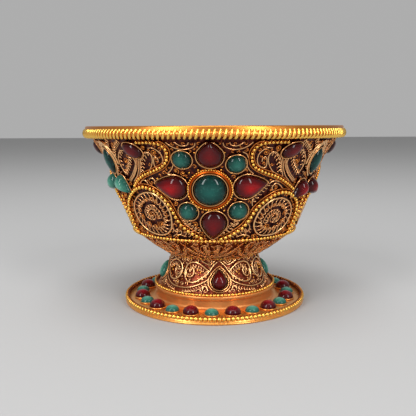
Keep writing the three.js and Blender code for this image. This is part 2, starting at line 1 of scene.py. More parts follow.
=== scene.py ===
# The offering cup's finish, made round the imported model: gilt wire work, bead rows, the twisted rim,
# polished stones and the turned metal under them. Lengths are in metres, with MM for millimetres.
import math

import bpy
import numpy as np
from mathutils import Matrix, Vector
from mathutils.kdtree import KDTree


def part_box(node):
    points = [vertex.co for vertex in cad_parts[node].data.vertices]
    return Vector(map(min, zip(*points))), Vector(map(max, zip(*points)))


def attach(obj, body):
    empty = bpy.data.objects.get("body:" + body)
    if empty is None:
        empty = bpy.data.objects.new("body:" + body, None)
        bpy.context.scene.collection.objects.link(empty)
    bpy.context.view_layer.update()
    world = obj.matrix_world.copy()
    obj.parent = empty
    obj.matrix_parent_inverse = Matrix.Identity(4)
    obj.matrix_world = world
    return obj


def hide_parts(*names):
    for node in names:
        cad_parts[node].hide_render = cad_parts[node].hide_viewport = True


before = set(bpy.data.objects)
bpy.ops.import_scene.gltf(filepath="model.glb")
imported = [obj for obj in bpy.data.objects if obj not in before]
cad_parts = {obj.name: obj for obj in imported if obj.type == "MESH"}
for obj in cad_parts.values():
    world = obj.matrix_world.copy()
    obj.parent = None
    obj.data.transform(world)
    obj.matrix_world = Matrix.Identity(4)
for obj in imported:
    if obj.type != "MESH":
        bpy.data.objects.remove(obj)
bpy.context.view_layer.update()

MM = 0.001

# Levels and radii read from the frame
plate_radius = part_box("foot_plate")[1].x
plate_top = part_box("foot_edge_beads")[0].z
edge_bead_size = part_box("foot_edge_beads")[1].z - plate_top
collar_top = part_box("foot_collar")[1].z
collar_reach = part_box("foot_collar")[1].x
stem_foot_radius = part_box("stem_sleeve")[1].x
cup_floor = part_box("stem_sleeve")[1].z
stem_bead_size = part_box("stem_top_beads")[1].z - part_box("stem_top_beads")[0].z
stem_bead_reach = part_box("stem_top_beads")[1].x
hip_bead_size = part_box("border_beads")[1].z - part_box("border_beads")[0].z
hip_bead_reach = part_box("border_beads")[1].x
hip_bead_level = (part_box("border_beads")[1].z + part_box("border_beads")[0].z) / 2
rope_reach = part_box("rim_rope")[1].x
wall_top, rope_top = (corner.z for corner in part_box("rim_rope"))
lip_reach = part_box("inner_cup")[1].x
rim_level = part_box("inner_cup")[1].z

# Sizes of the walls that the wire work is bent round
SEAT_GAP = 0.3 * MM
CUP_WALL = 0.9 * MM
CUP_FLOOR_RADIUS = 15.4 * MM
CUP_FLOOR_THICKNESS = 1.2 * MM
PLATE_HOLE_RADIUS = 17.2 * MM
COLLAR_WALL = 1.1 * MM
COLLAR_FLARE = 0.9 * MM
COLLAR_LEDGE = 0.8 * MM
STEM_WALL = 0.9 * MM
STEM_WAIST_RADIUS = 14.0 * MM
CALYX_BULGE = 0.3 * MM
HIP_BEAD_DROP = 0.4 * MM
BELLY_RADIUS = 32.8 * MM
BELLY_RISE = 0.42
NECK_RADIUS = 32.7 * MM
NECK_RISE = 0.75
MOUTH_RADIUS = 38.9 * MM

collar_radius = collar_reach - COLLAR_FLARE
hip_radius = hip_bead_reach - hip_bead_size - SEAT_GAP
hip_level = hip_bead_level + HIP_BEAD_DROP

PANELS = 3
PANEL_TURN = math.radians(-2)
STEM_TURN = math.radians(5.5)


# Colours and node trees

def colour(red, green, blue):
    """A colour given in 0 to 255 as it looks on a screen, as linear light by the sRGB curve"""
    shares = [value / 255 for value in (red, green, blue)]
    linear = [share / 12.92 if share <= 0.04045 else ((share + 0.055) / 1.055) ** 2.4 for share in shares]
    return (*linear, 1.0)


class Out:
    """An output socket of a node, with arithmetic that adds math nodes"""

    def __init__(self, graph, socket):
        self.graph = graph
        self.socket = socket

    def combined(self, operation, left, right):
        """The result of an operation on two numbers or two vectors"""
        vectors = [side for side in (left, right) if isinstance(side, Out) and side.socket.type == "VECTOR"]
        if not vectors:
            return self.graph.maths(operation, left, right)
        if operation == "MULTIPLY" and len(vectors) == 1:
            number = right if vectors[0] is left else left
            return self.graph.node("ShaderNodeVectorMath", {"operation": "SCALE"}, {0: vectors[0], 3: number})
        return self.graph.vector_maths(operation, left, right)

    def __add__(self, value):
        return self.combined("ADD", self, value)

    def __radd__(self, value):
        return self.combined("ADD", value, self)

    def __sub__(self, value):
        return self.combined("SUBTRACT", self, value)

    def __rsub__(self, value):
        return self.combined("SUBTRACT", value, self)

    def __mul__(self, value):
        return self.combined("MULTIPLY", self, value)

    def __rmul__(self, value):
        return self.combined("MULTIPLY", value, self)

    def __truediv__(self, value):
        return self.combined("DIVIDE", self, value)

    def __rtruediv__(self, value):
        return self.combined("DIVIDE", value, self)


class Graph:
    """A shader or geometry node tree that is written as expressions"""

    def __init__(self, tree):
        self.tree = tree

    def node(self, kind, settings=(), sockets=(), out=0):
        """Adds a node, sets its settings, then fills its sockets with values or links"""
        made = self.tree.nodes.new(kind)
        for name, value in dict(settings).items():
            if name == "stops":
                self.set_stops(made.color_ramp, value)
            else:
                setattr(made, name, value)
        for key, value in dict(sockets).items():
            self.feed(made.inputs[key], value)
        return Out(self, made.outputs[out]) if made.outputs else made

    def maths(self, operation, *values):
        """Maths on numbers"""
        return self.node("ShaderNodeMath", {"operation": operation}, enumerate(values))

    def vector_maths(self, operation, *values, out=0):
        """Maths on vectors"""
        return self.node("ShaderNodeVectorMath", {"operation": operation}, enumerate(values), out)

    def feed(self, socket, value):
        """Gives one socket a value, or a link from an output"""
        if isinstance(value, Out):
            self.tree.links.new(value.socket, socket)
        else:
            socket.default_value = value

    @staticmethod
    def set_stops(ramp, stops):
        """Sets a ramp's stops, each a place and a colour as it looks on a screen"""
        while len(ramp.elements) < len(stops):
            ramp.elements.new(1.0)
        for element, (place, tone) in zip(ramp.elements, stops):
            element.position = place
            element.color = colour(*tone)


# Materials

class Finish(Graph):
    """A material with one Principled shader"""

    def __init__(self, name, **constants):
        self.material = bpy.data.materials.new(name)
        self.material.use_nodes = True
        super().__init__(self.material.node_tree)
        self.shader = self.tree.nodes["Principled BSDF"]
        for label, value in constants.items():
            self.shader.inputs[label.replace("_", " ")].default_value = value

    def set(self, label, value):
        """Feeds one of the shader's inputs"""
        self.feed(self.shader.inputs[label], value)

    def place(self):
        """The point on the surface, in the object's own space"""
        return self.node("ShaderNodeTexCoord", out="Object")

    def noise(self, size, detail=3.0, roughness=0.55):
        """Soft noise from 0 to 1 with patches of about the size given"""
        sockets = {"Vector": self.place(), "Scale": 1 / size, "Detail": detail, "Roughness": roughness}
        return self.node("ShaderNodeTexNoise", {}, sockets)

    def ramp(self, value, *stops):
        """A colour read off a ramp"""
        return self.node("ShaderNodeValToRGB", {"stops": stops}, {"Fac": value})

    def level(self, value, low, high, most=1.0):
        """A number spread from low..high to 0..most, held at its ends"""
        sockets = {"Value": value, "From Min": low, "From Max": high, "To Max": most}
        return self.node("ShaderNodeMapRange", {}, sockets)

    def blend(self, share, under, over):
        """A mix of two colours"""
        settings = {"data_type": "RGBA"}
        return self.node("ShaderNodeMix", settings, {0: share, 6: under, 7: over}, out=2)

    def attribute(self, name):
        """A number kept on the mesh"""
        return self.node("ShaderNodeAttribute", {"attribute_name": name}, out="Fac")

    def bump(self, height, strength, distance):
        """Feeds the shader's normal from a height"""
        sockets = {"Strength": strength, "Distance": distance, "Height": height}
        self.set("Normal", self.node("ShaderNodeBump", {}, sockets))


PATCH_SIZE = 6 * MM
GRAIN_SIZE = 0.5 * MM
# The even level of the ramp where no highlight or shade is painted
EVEN_SHADING = 0.55


def gilt_finish(name, hollow, face, crest, roughness, metallic=1.0, lifted=True):
    """Gilding with random patches of tone and fine scratches. Lifted is for wires, beads and collars, whose
    meshes say how high each point lies: their tops are painted brighter as a painted highlight and their
    undersides redder and darker as painted shade."""
    patch_tone = 0.35
    patch_roughness, grain_roughness = 0.18, 0.12
    finish = Finish(name, Metallic=metallic)
    patches = finish.noise(PATCH_SIZE) - 0.5
    grain = finish.noise(GRAIN_SIZE)
    # Painted highlight and shade on lifted meshes: the top takes the crest colour and the underside the
    # hollow one
    painted_shading = finish.attribute("lift") * 0.5 + 0.5 if lifted else EVEN_SHADING
    tone = patches * patch_tone + painted_shading
    finish.set("Base Color", finish.ramp(tone, (0.12, hollow), (0.56, face), (0.98, crest)))
    finish.set("Roughness", roughness + patches * patch_roughness + (grain - 0.5) * grain_roughness)
    finish.bump(grain, strength=0.12, distance=0.05 * MM)
    return finish.material


def ground_finish():
    """The dark red ground behind the wire work, warmer and more gilt towards the stem and the rope. Its
    dark end is partly the ground's own red and partly painted shade in the openings of the wire work.
    """
    patch_size, thread_size = 3 * MM, 0.8 * MM
    hip_fade, rope_fade = 1.5 * MM, 8 * MM
    stem_warmth, rope_warmth = 0.45, 0.18
    darkening, patch_tone, patch_roughness = 0.05, 0.5, 0.2
    finish = Finish("red_ground", Metallic=0.6)
    patches = finish.noise(patch_size)
    threads = finish.noise(thread_size, detail=2.0)
    level = finish.node("ShaderNodeSeparateXYZ", {}, {0: finish.place()}, out="Z")
    near_stem = finish.level(level, hip_level, hip_level - hip_fade)
    near_rope = finish.level(level, wall_top - rope_fade, wall_top, rope_warmth)
    tone = near_stem * stem_warmth + near_rope + patches * patch_tone - darkening
    # The darkest reds are partly painted shade, the shade seen through the openings
    reds = ((0.05, (30, 4, 8)), (0.35, (68, 13, 12)), (0.6, (124, 42, 18)), (0.9, (172, 80, 30)))
    gleam = finish.level(threads, 0.54, 0.66, 0.6)
    finish.set("Base Color", finish.blend(gleam, finish.ramp(tone, *reds), colour(156, 72, 36)))
    finish.set("Roughness", 0.38 + (patches - 0.5) * patch_roughness)
    finish.bump(threads, strength=0.5, distance=0.3 * MM)
    return finish.material


def stone_finish(name, rim, body, glow, vein):
    """A polished domed stone with cloudy veins inside, painted darker at its rim as painted shade and
    brighter towards its crown as a painted glow of light through the stone
    """
    cloud_size, vein_size = 2.6 * MM, 0.8 * MM
    finish = Finish(name, Metallic=0.0, Roughness=0.07, IOR=1.5, Specular_IOR_Level=0.28)
    clouds = finish.noise(cloud_size, detail=4.0)
    threads = finish.noise(vein_size, detail=5.0)
    # Painted light: the crown runs from the rim to the top, so the rim takes painted shade and the top a
    # painted glow
    depth = finish.attribute("crown") + (clouds - 0.5) * 0.5
    tone = finish.ramp(depth, (0.05, rim), (0.45, body), (0.95, glow))
    veined = finish.level(threads, 0.54, 0.74, 0.35)
    finish.set("Base Color", finish.blend(veined, tone, colour(*vein)))
    return finish.material


GILT = gilt_finish("satin_gilt", (200, 96, 44), (232, 152, 84), (250, 204, 134), 0.42, 0.75, lifted=False)
EDGE = gilt_finish("polished_gilt", (196, 102, 38), (240, 168, 86), (253, 212, 142), 0.3, 0.82, lifted=False)
# A darker copy of the gilt, laid under bead rows, round the rope's core and in the bowl's filling scrolls as
# painted shade
SHADED_GILT = gilt_finish("deep_gilt", (84, 30, 10), (162, 80, 32), (220, 138, 68), 0.36)
# Beads, wires and rings are lifted, so their tops get a painted highlight and their undersides painted shade
BEAD = gilt_finish("bead_gilt", (130, 56, 14), (230, 144, 48), (252, 202, 98), 0.24)
WIRE = gilt_finish("wire_gilt", (96, 30, 12), (204, 108, 52), (255, 202, 140), 0.26)
RING = gilt_finish("ring_gilt", (84, 26, 10), (170, 88, 42), (238, 176, 114), 0.22)
ORANGE = gilt_finish("orange_gilt", (120, 40, 10), (190, 84, 24), (226, 124, 48), 0.34, lifted=False)
LINING = gilt_finish("lining_gilt", (150, 80, 28), (212, 136, 58), (238, 180, 100), 0.34, lifted=False)
GROUND = ground_finish()
GREEN = stone_finish("green_stone", (10, 42, 38), (20, 76, 66), (40, 100, 88), (84, 144, 130))
# A darker green, for the centre stone, and for the bud stone as painted shade
DARK_GREEN = stone_finish("dark_green_stone", (5, 32, 30), (11, 62, 56), (22, 84, 76), (56, 122, 110))
PALE_GREEN = stone_finish("pale_green_stone", (34, 92, 80), (70, 136, 116), (108, 170, 150), (150, 200, 182))
RED = stone_finish("red_stone", (46, 3, 6), (80, 5, 8), (104, 6, 10), (92, 14, 16))
# A copy of the red stone with a brighter body and crown, a painted glow of light through the stone, for the
# side drops and one leaf stone
GLOWING_RED = stone_finish("crimson_stone", (44, 3, 6), (100, 5, 9), (158, 7, 12), (112, 12, 16))
PALE_RED = stone_finish("pale_red_stone", (64, 6, 12), (116, 14, 24), (156, 28, 38), (160, 60, 66))


def stone_slot(finish):
    """The record's slot for a stone's finish"""
    return "red_stone" if finish in (RED, GLOWING_RED, PALE_RED) else "green_stone"


# Walls and strokes

WALL_SAMPLES = 401


class Wall:
    """A wall turned round Z, its section a Bezier curve with (radius, height) controls. A flat point on it
    is the way round at its middle radius, and up its slope."""

    def __init__(self, *controls):
        share = np.linspace(0, 1, WALL_SAMPLES)[:, None]
        degree = len(controls) - 1
        curve = sum(
            math.comb(degree, index) * (1 - share) ** (degree - index) * share ** index * np.array(control)
            for index, control in enumerate(controls)
        )
        self.radius, self.height = curve.T
        steps = np.hypot(np.diff(self.radius), np.diff(self.height))
        self.slope = np.concatenate([[0], np.cumsum(steps)])
        rise, run = np.gradient(self.height), np.gradient(self.radius)
        self.out_round, self.out_up = rise / np.hypot(rise, run), -run / np.hypot(rise, run)
        self.length = self.slope[-1]
        self.reference = np.interp(self.length / 2, self.slope, self.radius)

    def widening(self, up):
        """How much wider a flat metre comes out at a distance up the slope"""
        return np.interp(up, self.slope, self.radius) / self.reference

    def flat(self, marks, side=1):
        """Flat points from marks, each the degrees from the middle and the height in millimetres"""
        degrees, level = np.array(marks, float).T
        up = np.interp(level * MM, self.height, self.slope)
        return np.stack([side * np.radians(degrees) * self.reference, up], -1)

    def place(self, flat, lift, turn=0.0):
        """Points at a lift off the face, and the directions that point out of it"""
        across, up = np.asarray(flat, float).T
        angle = across / self.reference + turn
        curves = (self.radius, self.height, self.out_round, self.out_up)
        radius, height, round_out, up_out = (np.interp(up, self.slope, values) for values in curves)
        outward = np.stack([round_out * np.sin(angle), -round_out * np.cos(angle), up_out], -1)
        foot = np.stack([radius * np.sin(angle), -radius * np.cos(angle), height], -1)
        return foot + outward * np.asarray(lift)[..., None], outward

    def laid(self, outline, middle, turn):
        """An outline in true metres, turned anticlockwise and laid flat round a middle"""
        sine, cosine = math.sin(turn), math.cos(turn)
        across, up = np.asarray(outline, float).T
        high = middle[1] + sine * across + cosine * up
        return np.stack([middle[0] + (cosine * across - sine * up) / self.widening(high), high], -1)


STEM = Wall(
    (stem_foot_radius, collar_top),
    (STEM_WAIST_RADIUS, (collar_top + cup_floor) / 2),
    (STEM_WAIST_RADIUS, cup_floor),
)
CALYX = Wall(
    (CUP_FLOOR_RADIUS, cup_floor),
    ((CUP_FLOOR_RADIUS + hip_radius) / 2 + CALYX_BULGE, (cup_floor + hip_level) / 2 - CALYX_BULGE),
    (hip_radius, hip_level),
)
BOWL = Wall(
    (hip_radius, hip_level),
    (BELLY_RADIUS, hip_level + (wall_top - hip_level) * BELLY_RISE),
    (NECK_RADIUS, hip_level + (wall_top - hip_level) * NECK_RISE),
    (MOUTH_RADIUS, wall_top),
)

STROKE_STEP = 0.3 * MM


def smooth(points, closed=False):
    """A smooth line through flat points, sampled every step: a centripetal Catmull-Rom curve"""
    points = np.asarray(points, float)
    if closed:
        before, after = points[-1:], points[:2]
    else:
        before, after = 2 * points[:1] - points[1:2], 2 * points[-1:] - points[-2:-1]
    ring = np.vstack([before, points, after])
    found = []
    for near in zip(ring, ring[1:], ring[2:], ring[3:]):
        knots = np.cumsum([0] + [max(math.dist(p, q), 1e-9) ** 0.5 for p, q in zip(near, near[1:])])
        count = max(2, math.ceil(math.dist(near[1], near[2]) / STROKE_STEP))
        at = np.linspace(knots[1], knots[2], count, endpoint=False)[:, None]
        # Neighbours are blended in pairs by their knots, three times over, until one row is left
        for low, high in ((0, 1), (0, 2), (1, 2)):
            spans = zip(near, near[1:], knots[low:], knots[high:])
            near = [(p * (end - at) + q * (at - start)) / (end - start) for p, q, start, end in spans]
        found += near
    line = np.vstack(found)
    return line if closed else np.vstack([line, points[-1:]])


def headings(line, closed):
    """The direction of a line at each of its points"""
    if closed:
        steps = np.roll(line, -1, 0) - np.roll(line, 1, 0)
    else:
        steps = np.gradient(line, axis=0)
    return steps / np.maximum(np.linalg.norm(steps, axis=1, keepdims=True), 1e-12)


def beside(wall, line, distance, closed=False):
    """A line at a true distance to the left of another, both flat"""
    wide = wall.widening(line[:, 1])[:, None] ** [1, 0]
    true = headings(line * wide, closed)
    return line + distance * np.stack([-true[:, 1], true[:, 0]], -1) / wide


def round_angles(count):
    """Evenly spaced angles, once round"""
    return np.arange(count) * 2 * math.pi / count


def mark(mesh, label, values):
    """Keeps a number or a vector on each of a mesh's points"""
    values = np.asarray(values, np.float32)
    kind, field = ("FLOAT_VECTOR", "vector") if values.ndim > 1 else ("FLOAT", "value")
    mesh.attributes.new(label, kind, "POINT").data.foreach_set(field, values.ravel())


def placed(name, data):
    """A new object in the scene"""
    made = bpy.data.objects.new(name, data)
    bpy.context.scene.collection.objects.link(made)
    return made


class Strokes:
    """Lines in space with the directions that geometry nodes need to hang repeats on them"""

    def __init__(self):
        self.points, self.outward, self.onward, self.share, self.edges = [], [], [], [], []

    def add(self, points, outward, closed=False, share=1.0):
        """Adds one line. Share scales what hangs on it, and a negative share turns that over."""
        first = sum(len(found) for found in self.points)
        count = len(points)
        self.points.append(points)
        self.outward.append(outward)
        self.onward.append(headings(points, closed))
        self.share.append(np.full(count, share))
        steps = count if closed else count - 1
        self.edges += [(first + index, first + (index + 1) % count) for index in range(steps)]

    def draw(self, wall, line, lift, closed=False, share=1.0, turn=0.0):
        """Adds a flat line of a wall at a lift off its face"""
        points, outward = wall.place(line, lift, turn)
        self.add(points, outward, closed, share)

    def ring(self, radius, level, count=360):
        """Adds a level circle round the axis"""
        angle = round_angles(count)
        outward = np.stack([np.sin(angle), -np.cos(angle), np.zeros(count)], -1)
        points = outward * radius + [0, 0, level]
        self.add(points, outward, closed=True)

    def mesh(self, name):
        """The lines as a mesh of edges"""
        mesh = bpy.data.meshes.new(name)
        mesh.from_pydata(np.vstack(self.points).tolist(), self.edges, [])
        mark(mesh, "outward", np.vstack(self.outward))
        mark(mesh, "onward", np.vstack(self.onward))
        mark(mesh, "share", np.concatenate(self.share))
        return mesh


# Geometry node trees for what repeats

SOCKETS = {float: "NodeSocketFloat", int: "NodeSocketInt"}


class Repeat(Graph):
    """A geometry node tree with named inputs, which ends in real geometry with a material"""

    def __init__(self, name, **sizes):
        super().__init__(bpy.data.node_groups.new(name, "GeometryNodeTree"))
        self.add_socket("Strokes", "NodeSocketGeometry")
        self.add_socket("Finish", "NodeSocketMaterial")
        for label, value in sizes.items():
            self.add_socket(label.replace("_", " "), SOCKETS[type(value)]).default_value = value
        self.add_socket("Work", "NodeSocketGeometry", "OUTPUT")
        self.entry = self.tree.nodes.new("NodeGroupInput")

    def add_socket(self, label, kind, way="INPUT"):
        """Gives the tree one more input or output"""
        return self.tree.interface.new_socket(label, in_out=way, socket_type=kind)

    def given(self, label):
        """One of the tree's inputs"""
        return Out(self, self.entry.outputs[label])

    def kept(self, label, kind="FLOAT"):
        """An attribute of the strokes"""
        return self.node("GeometryNodeInputNamedAttribute", {"data_type": kind}, {"Name": label})

    def keep(self, geometry, label, value, kind="FLOAT"):
        """Stores an attribute on the points"""
        settings = {"data_type": kind, "domain": "POINT"}
        sockets = {"Geometry": geometry, "Name": label, "Value": value}
        return self.node("GeometryNodeStoreNamedAttribute", settings, sockets)

    def with_spine(self, geometry):
        """Notes each point's place before the wire or bead is put round it"""
        return self.keep(geometry, "spine", self.node("GeometryNodeInputPosition"), "FLOAT_VECTOR")

    def lines(self, pitch=None):
        """The strokes as curves, with evenly spaced points if a pitch is given"""
        curve = self.node("GeometryNodeMeshToCurve", {}, {"Mesh": self.given("Strokes")})
        if pitch is None:
            return curve
        size = self.maths("ABSOLUTE", self.kept("share"))
        count = self.node("GeometryNodeSplineLength", out="Length") / (pitch * size)
        sockets = {"Curve": curve, "Count": self.maths("ROUND", count)}
        return self.node("GeometryNodeResampleCurve", {"mode": "COUNT"}, sockets)

    def tube(self, curve, radius, sides, scale=1.0):
        """A round wire along curves"""
        profile = self.node("GeometryNodeCurvePrimitiveCircle", {}, {"Resolution": sides, "Radius": radius})
        sockets = {"Curve": curve, "Profile Curve": profile, "Fill Caps": True, "Scale": scale}
        return self.node("GeometryNodeCurveToMesh", {}, sockets)

    def away(self):
        """The way from a wire's or bead's middle to its surface"""
        return self.node("GeometryNodeInputPosition") - self.kept("spine", "FLOAT_VECTOR")

    def end(self, geometry, radius, lift=None):
        """Makes the instances real, stores how high each point lies on its wire, and sets the finish"""
        real = self.node("GeometryNodeRealizeInstances", {}, {"Geometry": geometry})
        if lift is None:
            outward = self.kept("outward", "FLOAT_VECTOR")
            lift = self.vector_maths("DOT_PRODUCT", self.away(), outward, out="Value") / radius
        # The lift lets lifted finishes paint each wire's or bead's top as a painted highlight and its
        # underside as painted shade
        lifted = self.keep(real, "lift", lift)
        even = self.node("GeometryNodeSetShadeSmooth", {}, {"Geometry": lifted})
        done = self.node("GeometryNodeSetMaterial", {}, {"Geometry": even, "Material": self.given("Finish")})
        self.node("NodeGroupOutput", {}, {"Work": done})
        return self.tree


def bead_tree():
    """Beads threaded along strokes"""
    tree = Repeat("bead_rows", Pitch=1.2 * MM, Bead_Radius=0.5 * MM, Segments=8, Rings=6)
    size = tree.given("Bead Radius") * tree.kept("share")
    points = tree.with_spine(tree.lines(tree.given("Pitch")))
    sockets = {"Radius": 1.0, "Segments": tree.given("Segments"), "Rings": tree.given("Rings")}
    bead = tree.node("GeometryNodeMeshUVSphere", {}, sockets)
    beads = tree.node("GeometryNodeInstanceOnPoints", {}, {"Points": points, "Instance": bead, "Scale": size})
    return tree.end(beads, tree.given("Bead Radius"))


def wire_tree():
    """Round wire along strokes"""
    tree = Repeat("round_wires", Wire_Radius=0.2 * MM, Sides=6)
    radius = tree.given("Wire Radius")
    wires = tree.tube(tree.with_spine(tree.lines()), radius, tree.given("Sides"), tree.kept("share"))
    return tree.end(wires, radius)


def curl_tree():
    """Small arches and curls that hang side by side on strokes"""
    tree = Repeat(
        "curl_rows", Pitch=0.98 * MM, Curl_Radius=0.6 * MM, Turns=0.74, Heart=0.36, Wire_Radius=0.18 * MM,
        Lean=-0.1, Slimness=0.85, Reach=1.4, Sides=5,
    )
    spiral = tree.node("GeometryNodeCurveSpiral", {}, {
        "Resolution": 13, "Rotations": tree.given("Turns"), "Start Radius": 1.0,
        "End Radius": tree.given("Heart"), "Height": 0.0, "Reverse": False,
    })
    lean = tree.node("ShaderNodeCombineXYZ", {}, {"Z": tree.given("Lean") - math.pi / 2})
    leant = tree.node("GeometryNodeTransform", {}, {"Geometry": spiral, "Rotation": lean})
    moved = tree.node("GeometryNodeTransform", {}, {"Geometry": leant, "Translation": (0, 1, 0)})
    slimness, reach = tree.given("Slimness"), tree.given("Reach")
    slim = tree.node("ShaderNodeCombineXYZ", {}, {"X": slimness, "Y": reach, "Z": 1.0})
    curl = tree.node("GeometryNodeTransform", {}, {"Geometry": moved, "Scale": slim})
    outward, onward = tree.kept("outward", "FLOAT_VECTOR"), tree.kept("onward", "FLOAT_VECTOR")
    sockets = {"Primary Axis": outward, "Secondary Axis": onward}
    facing = tree.node("FunctionNodeAxesToRotation", {"primary_axis": "Z", "secondary_axis": "X"}, sockets)
    share, radius = tree.kept("share"), tree.given("Curl Radius")
    size = tree.maths("ABSOLUTE", share) * radius
    scale = tree.node("ShaderNodeCombineXYZ", {}, {"X": size, "Y": share * radius, "Z": size})
    curls = tree.node("GeometryNodeInstanceOnPoints", {}, {
        "Points": tree.lines(tree.given("Pitch")), "Instance": curl, "Rotation": facing, "Scale": scale,
    })
    real = tree.with_spine(tree.node("GeometryNodeRealizeInstances", {}, {"Geometry": curls}))
    wire_radius = tree.given("Wire Radius")
    return tree.end(tree.tube(real, wire_radius, tree.given("Sides")), wire_radius)


def rope_tree():
    """A wire coiled round a level ring"""
    tree = Repeat(
        "coiled_wire", Turns=168, Strand_Radius=0.46 * MM, Twist_Radius=0.69 * MM, Rise_Radius=0.69 * MM,
        Sides=8, Steps=12, Hollow=0.78, Contrast=5.0,
    )
    steps = tree.given("Steps")
    curve = tree.node("GeometryNodeMeshToCurve", {}, {"Mesh": tree.given("Strokes")})
    sockets = {"Curve": curve, "Count": tree.given("Turns") * steps}
    even = tree.node("GeometryNodeResampleCurve", {"mode": "COUNT"}, sockets)
    angle = tree.node("GeometryNodeInputIndex") / steps * (2 * math.pi)
    away = tree.maths("COSINE", angle) * tree.given("Twist Radius")
    rise = tree.maths("SINE", angle) * tree.given("Rise Radius")
    offset = tree.kept("outward", "FLOAT_VECTOR") * away + tree.node("ShaderNodeCombineXYZ", {}, {"Z": rise})
    moved = tree.node("GeometryNodeSetPosition", {}, {"Geometry": tree.with_spine(even), "Offset": offset})
    strand = tree.given("Strand Radius")
    outermost = strand + tree.given("Twist Radius")
    # Painted light: the strand's outer part takes the lit colour and its part near the core the dark one, a
    # painted highlight on the ridges and painted shade between the turns
    reach = tree.vector_maths("LENGTH", tree.away(), out="Value") / outermost
    lift = (reach - tree.given("Hollow")) * tree.given("Contrast")
    return tree.end(tree.tube(moved, strand, tree.given("Sides")), outermost, lift)


BEADS, WIRES, CURLS, ROPE = bead_tree(), wire_tree(), curl_tree(), rope_tree()


def worked(name, strokes, tree, finish, **sizes):
    """Hangs a tree's work on strokes and bakes it to a plain mesh"""
    piece = placed(name, strokes.mesh(name))
    modifier = piece.modifiers.new("work", "NODES")
    modifier.node_group = tree
    values = {label.replace("_", " "): value for label, value in sizes.items()} | {"Finish": finish}
    for item in tree.interface.items_tree:
        if item.in_out == "INPUT" and item.name in values:
            modifier[item.identifier] = values.pop(item.name)
    assert not values, f"the tree {tree.name} has no input {sorted(values)}"
    graph = bpy.context.evaluated_depsgraph_get()
    work = piece.evaluated_get(graph)
    baked = bpy.data.meshes.new_from_object(work, preserve_all_data_layers=True, depsgraph=graph)
    piece.modifiers.clear()
    edges = piece.data
    piece.data = baked
    bpy.data.meshes.remove(edges)
    baked.name = name
    for label in ("outward", "onward", "share", "spine"):
        if label in baked.attributes:
            baked.attributes.remove(baked.attributes[label])
    return piece


def joined(name, pieces):
    """Joins pieces into one, with the first one's finish"""
    with bpy.context.temp_override(active_object=pieces[0], selected_editable_objects=pieces):
        bpy.ops.object.join()
    pieces[0].name = name
    pieces[0].data.name = name
    return pieces[0]


def settled(piece, slot, node):
    """Rides the piece on the cup and hides the node that it stands for. The slot is not used."""
    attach(piece, "root")
    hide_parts(node)


def solid(name, points, faces, finish, attributes=()):
    """A smooth mesh from points and faces"""
    mesh = bpy.data.meshes.new(name)
    mesh.from_pydata(np.asarray(points).tolist(), [], faces)
    mesh.shade_smooth()
    mesh.materials.append(finish)
    for label, values in dict(attributes).items():
        mark(mesh, label, values)
    return placed(name, mesh)


def skin(rings, closed):
    """Faces between rings of point numbers. A ring that repeats one number gives triangles."""
    faces = []
    for low, high in zip(rings, rings[1:] + rings[:closed]):
        for at in range(len(low)):
            after = (at + 1) % len(low)
            corners = [low[at], low[after], high[after], high[at]]
            face = [corner for index, corner in enumerate(corners) if corner != corners[index - 1]]
            if len(face) > 2:
                faces.append(face)
    return faces


# Turned pieces

TURN_STEPS = 144
SHARP_EDGE = math.radians(50)


def arc(middle, radius, start, end, steps=5):
    """Outline points on an arc, with angles in degrees"""
    angles = np.radians(np.linspace(start, end, steps + 1))
    return [(middle[0] + radius * math.cos(angle), middle[1] + radius * math.sin(angle)) for angle in angles]


def turned(name, outline, finish, closed=True):
    """A vessel or ring turned round Z from an outline that runs up the outside and down the inside"""
    angles = round_angles(TURN_STEPS)
    points, rings = [], []
    for radius, level in outline:
        first = len(points)
        if radius > 0:
            rings.append(list(range(first, first + TURN_STEPS)))
            points += [(radius * math.sin(angle), -radius * math.cos(angle), level) for angle in angles]
        else:
            rings.append([first] * TURN_STEPS)
            points.append((0, 0, level))
    piece = solid(name, points, skin(rings, closed), finish)
    piece.data.set_sharp_from_angle(angle=SHARP_EDGE)
    return piece


def foot_plate():
    """The flat plate, with a rounded edge and a groove for its beads"""
    round_edge = 0.36 * MM
    groove = 0.42 * MM
    plate = turned("foot_plate_gilt", [
        (PLATE_HOLE_RADIUS, 0),
        *arc((plate_radius - round_edge, round_edge), round_edge, -90, 90),
        (plate_radius - groove, 2 * round_edge + groove / 3),
        (plate_radius - groove, plate_top - round_edge),
        (plate_radius - groove - round_edge, plate_top),
        (PLATE_HOLE_RADIUS, plate_top),
    ], EDGE)
    settled(plate, "gilt_metal", "foot_plate")


def foot_collar():
    """The plain collar, flared at its foot, with a ledge round its top"""
    flare, ledge = COLLAR_FLARE, COLLAR_LEDGE
    mouth = stem_foot_radius - STEM_WALL
    inside = collar_radius - COLLAR_WALL
    collar = turned("foot_collar_gilt", [
        (inside, plate_top),
        (collar_radius + flare, plate_top),
        *arc((collar_radius + flare, plate_top + flare), flare, -90, -180)[1:],
        (collar_radius, collar_top - 2 * ledge),
        *arc((collar_radius, collar_top - ledge), ledge, -90, 0)[1:],
        *arc((collar_radius + ledge / 2, collar_top - ledge / 2), ledge / 2, 0, 90),
        (mouth, collar_top),
        (mouth, collar_top - COLLAR_WALL),
        (inside, collar_top - COLLAR_WALL),
    ], GILT)
    settled(collar, "gilt_metal", "foot_collar")


def bead_ring(name, node, reach, size, level, pitch):
    """A level row of beads on a broad wire"""
    bed_share = 0.32
    strokes = Strokes()
    strokes.ring(reach - size / 2, level)
    row = worked(name, strokes, BEADS, BEAD, Pitch=pitch, Bead_Radius=size / 2, Segments=12, Rings=8)
    # The broad wire under the beads is in the shaded gilt, as painted shade between the beads
    bed = worked(f"{name}_bed", strokes, WIRES, SHADED_GILT, Wire_Radius=size * bed_share)
    settled(joined(name, [row, bed]), "gilt_metal", node)


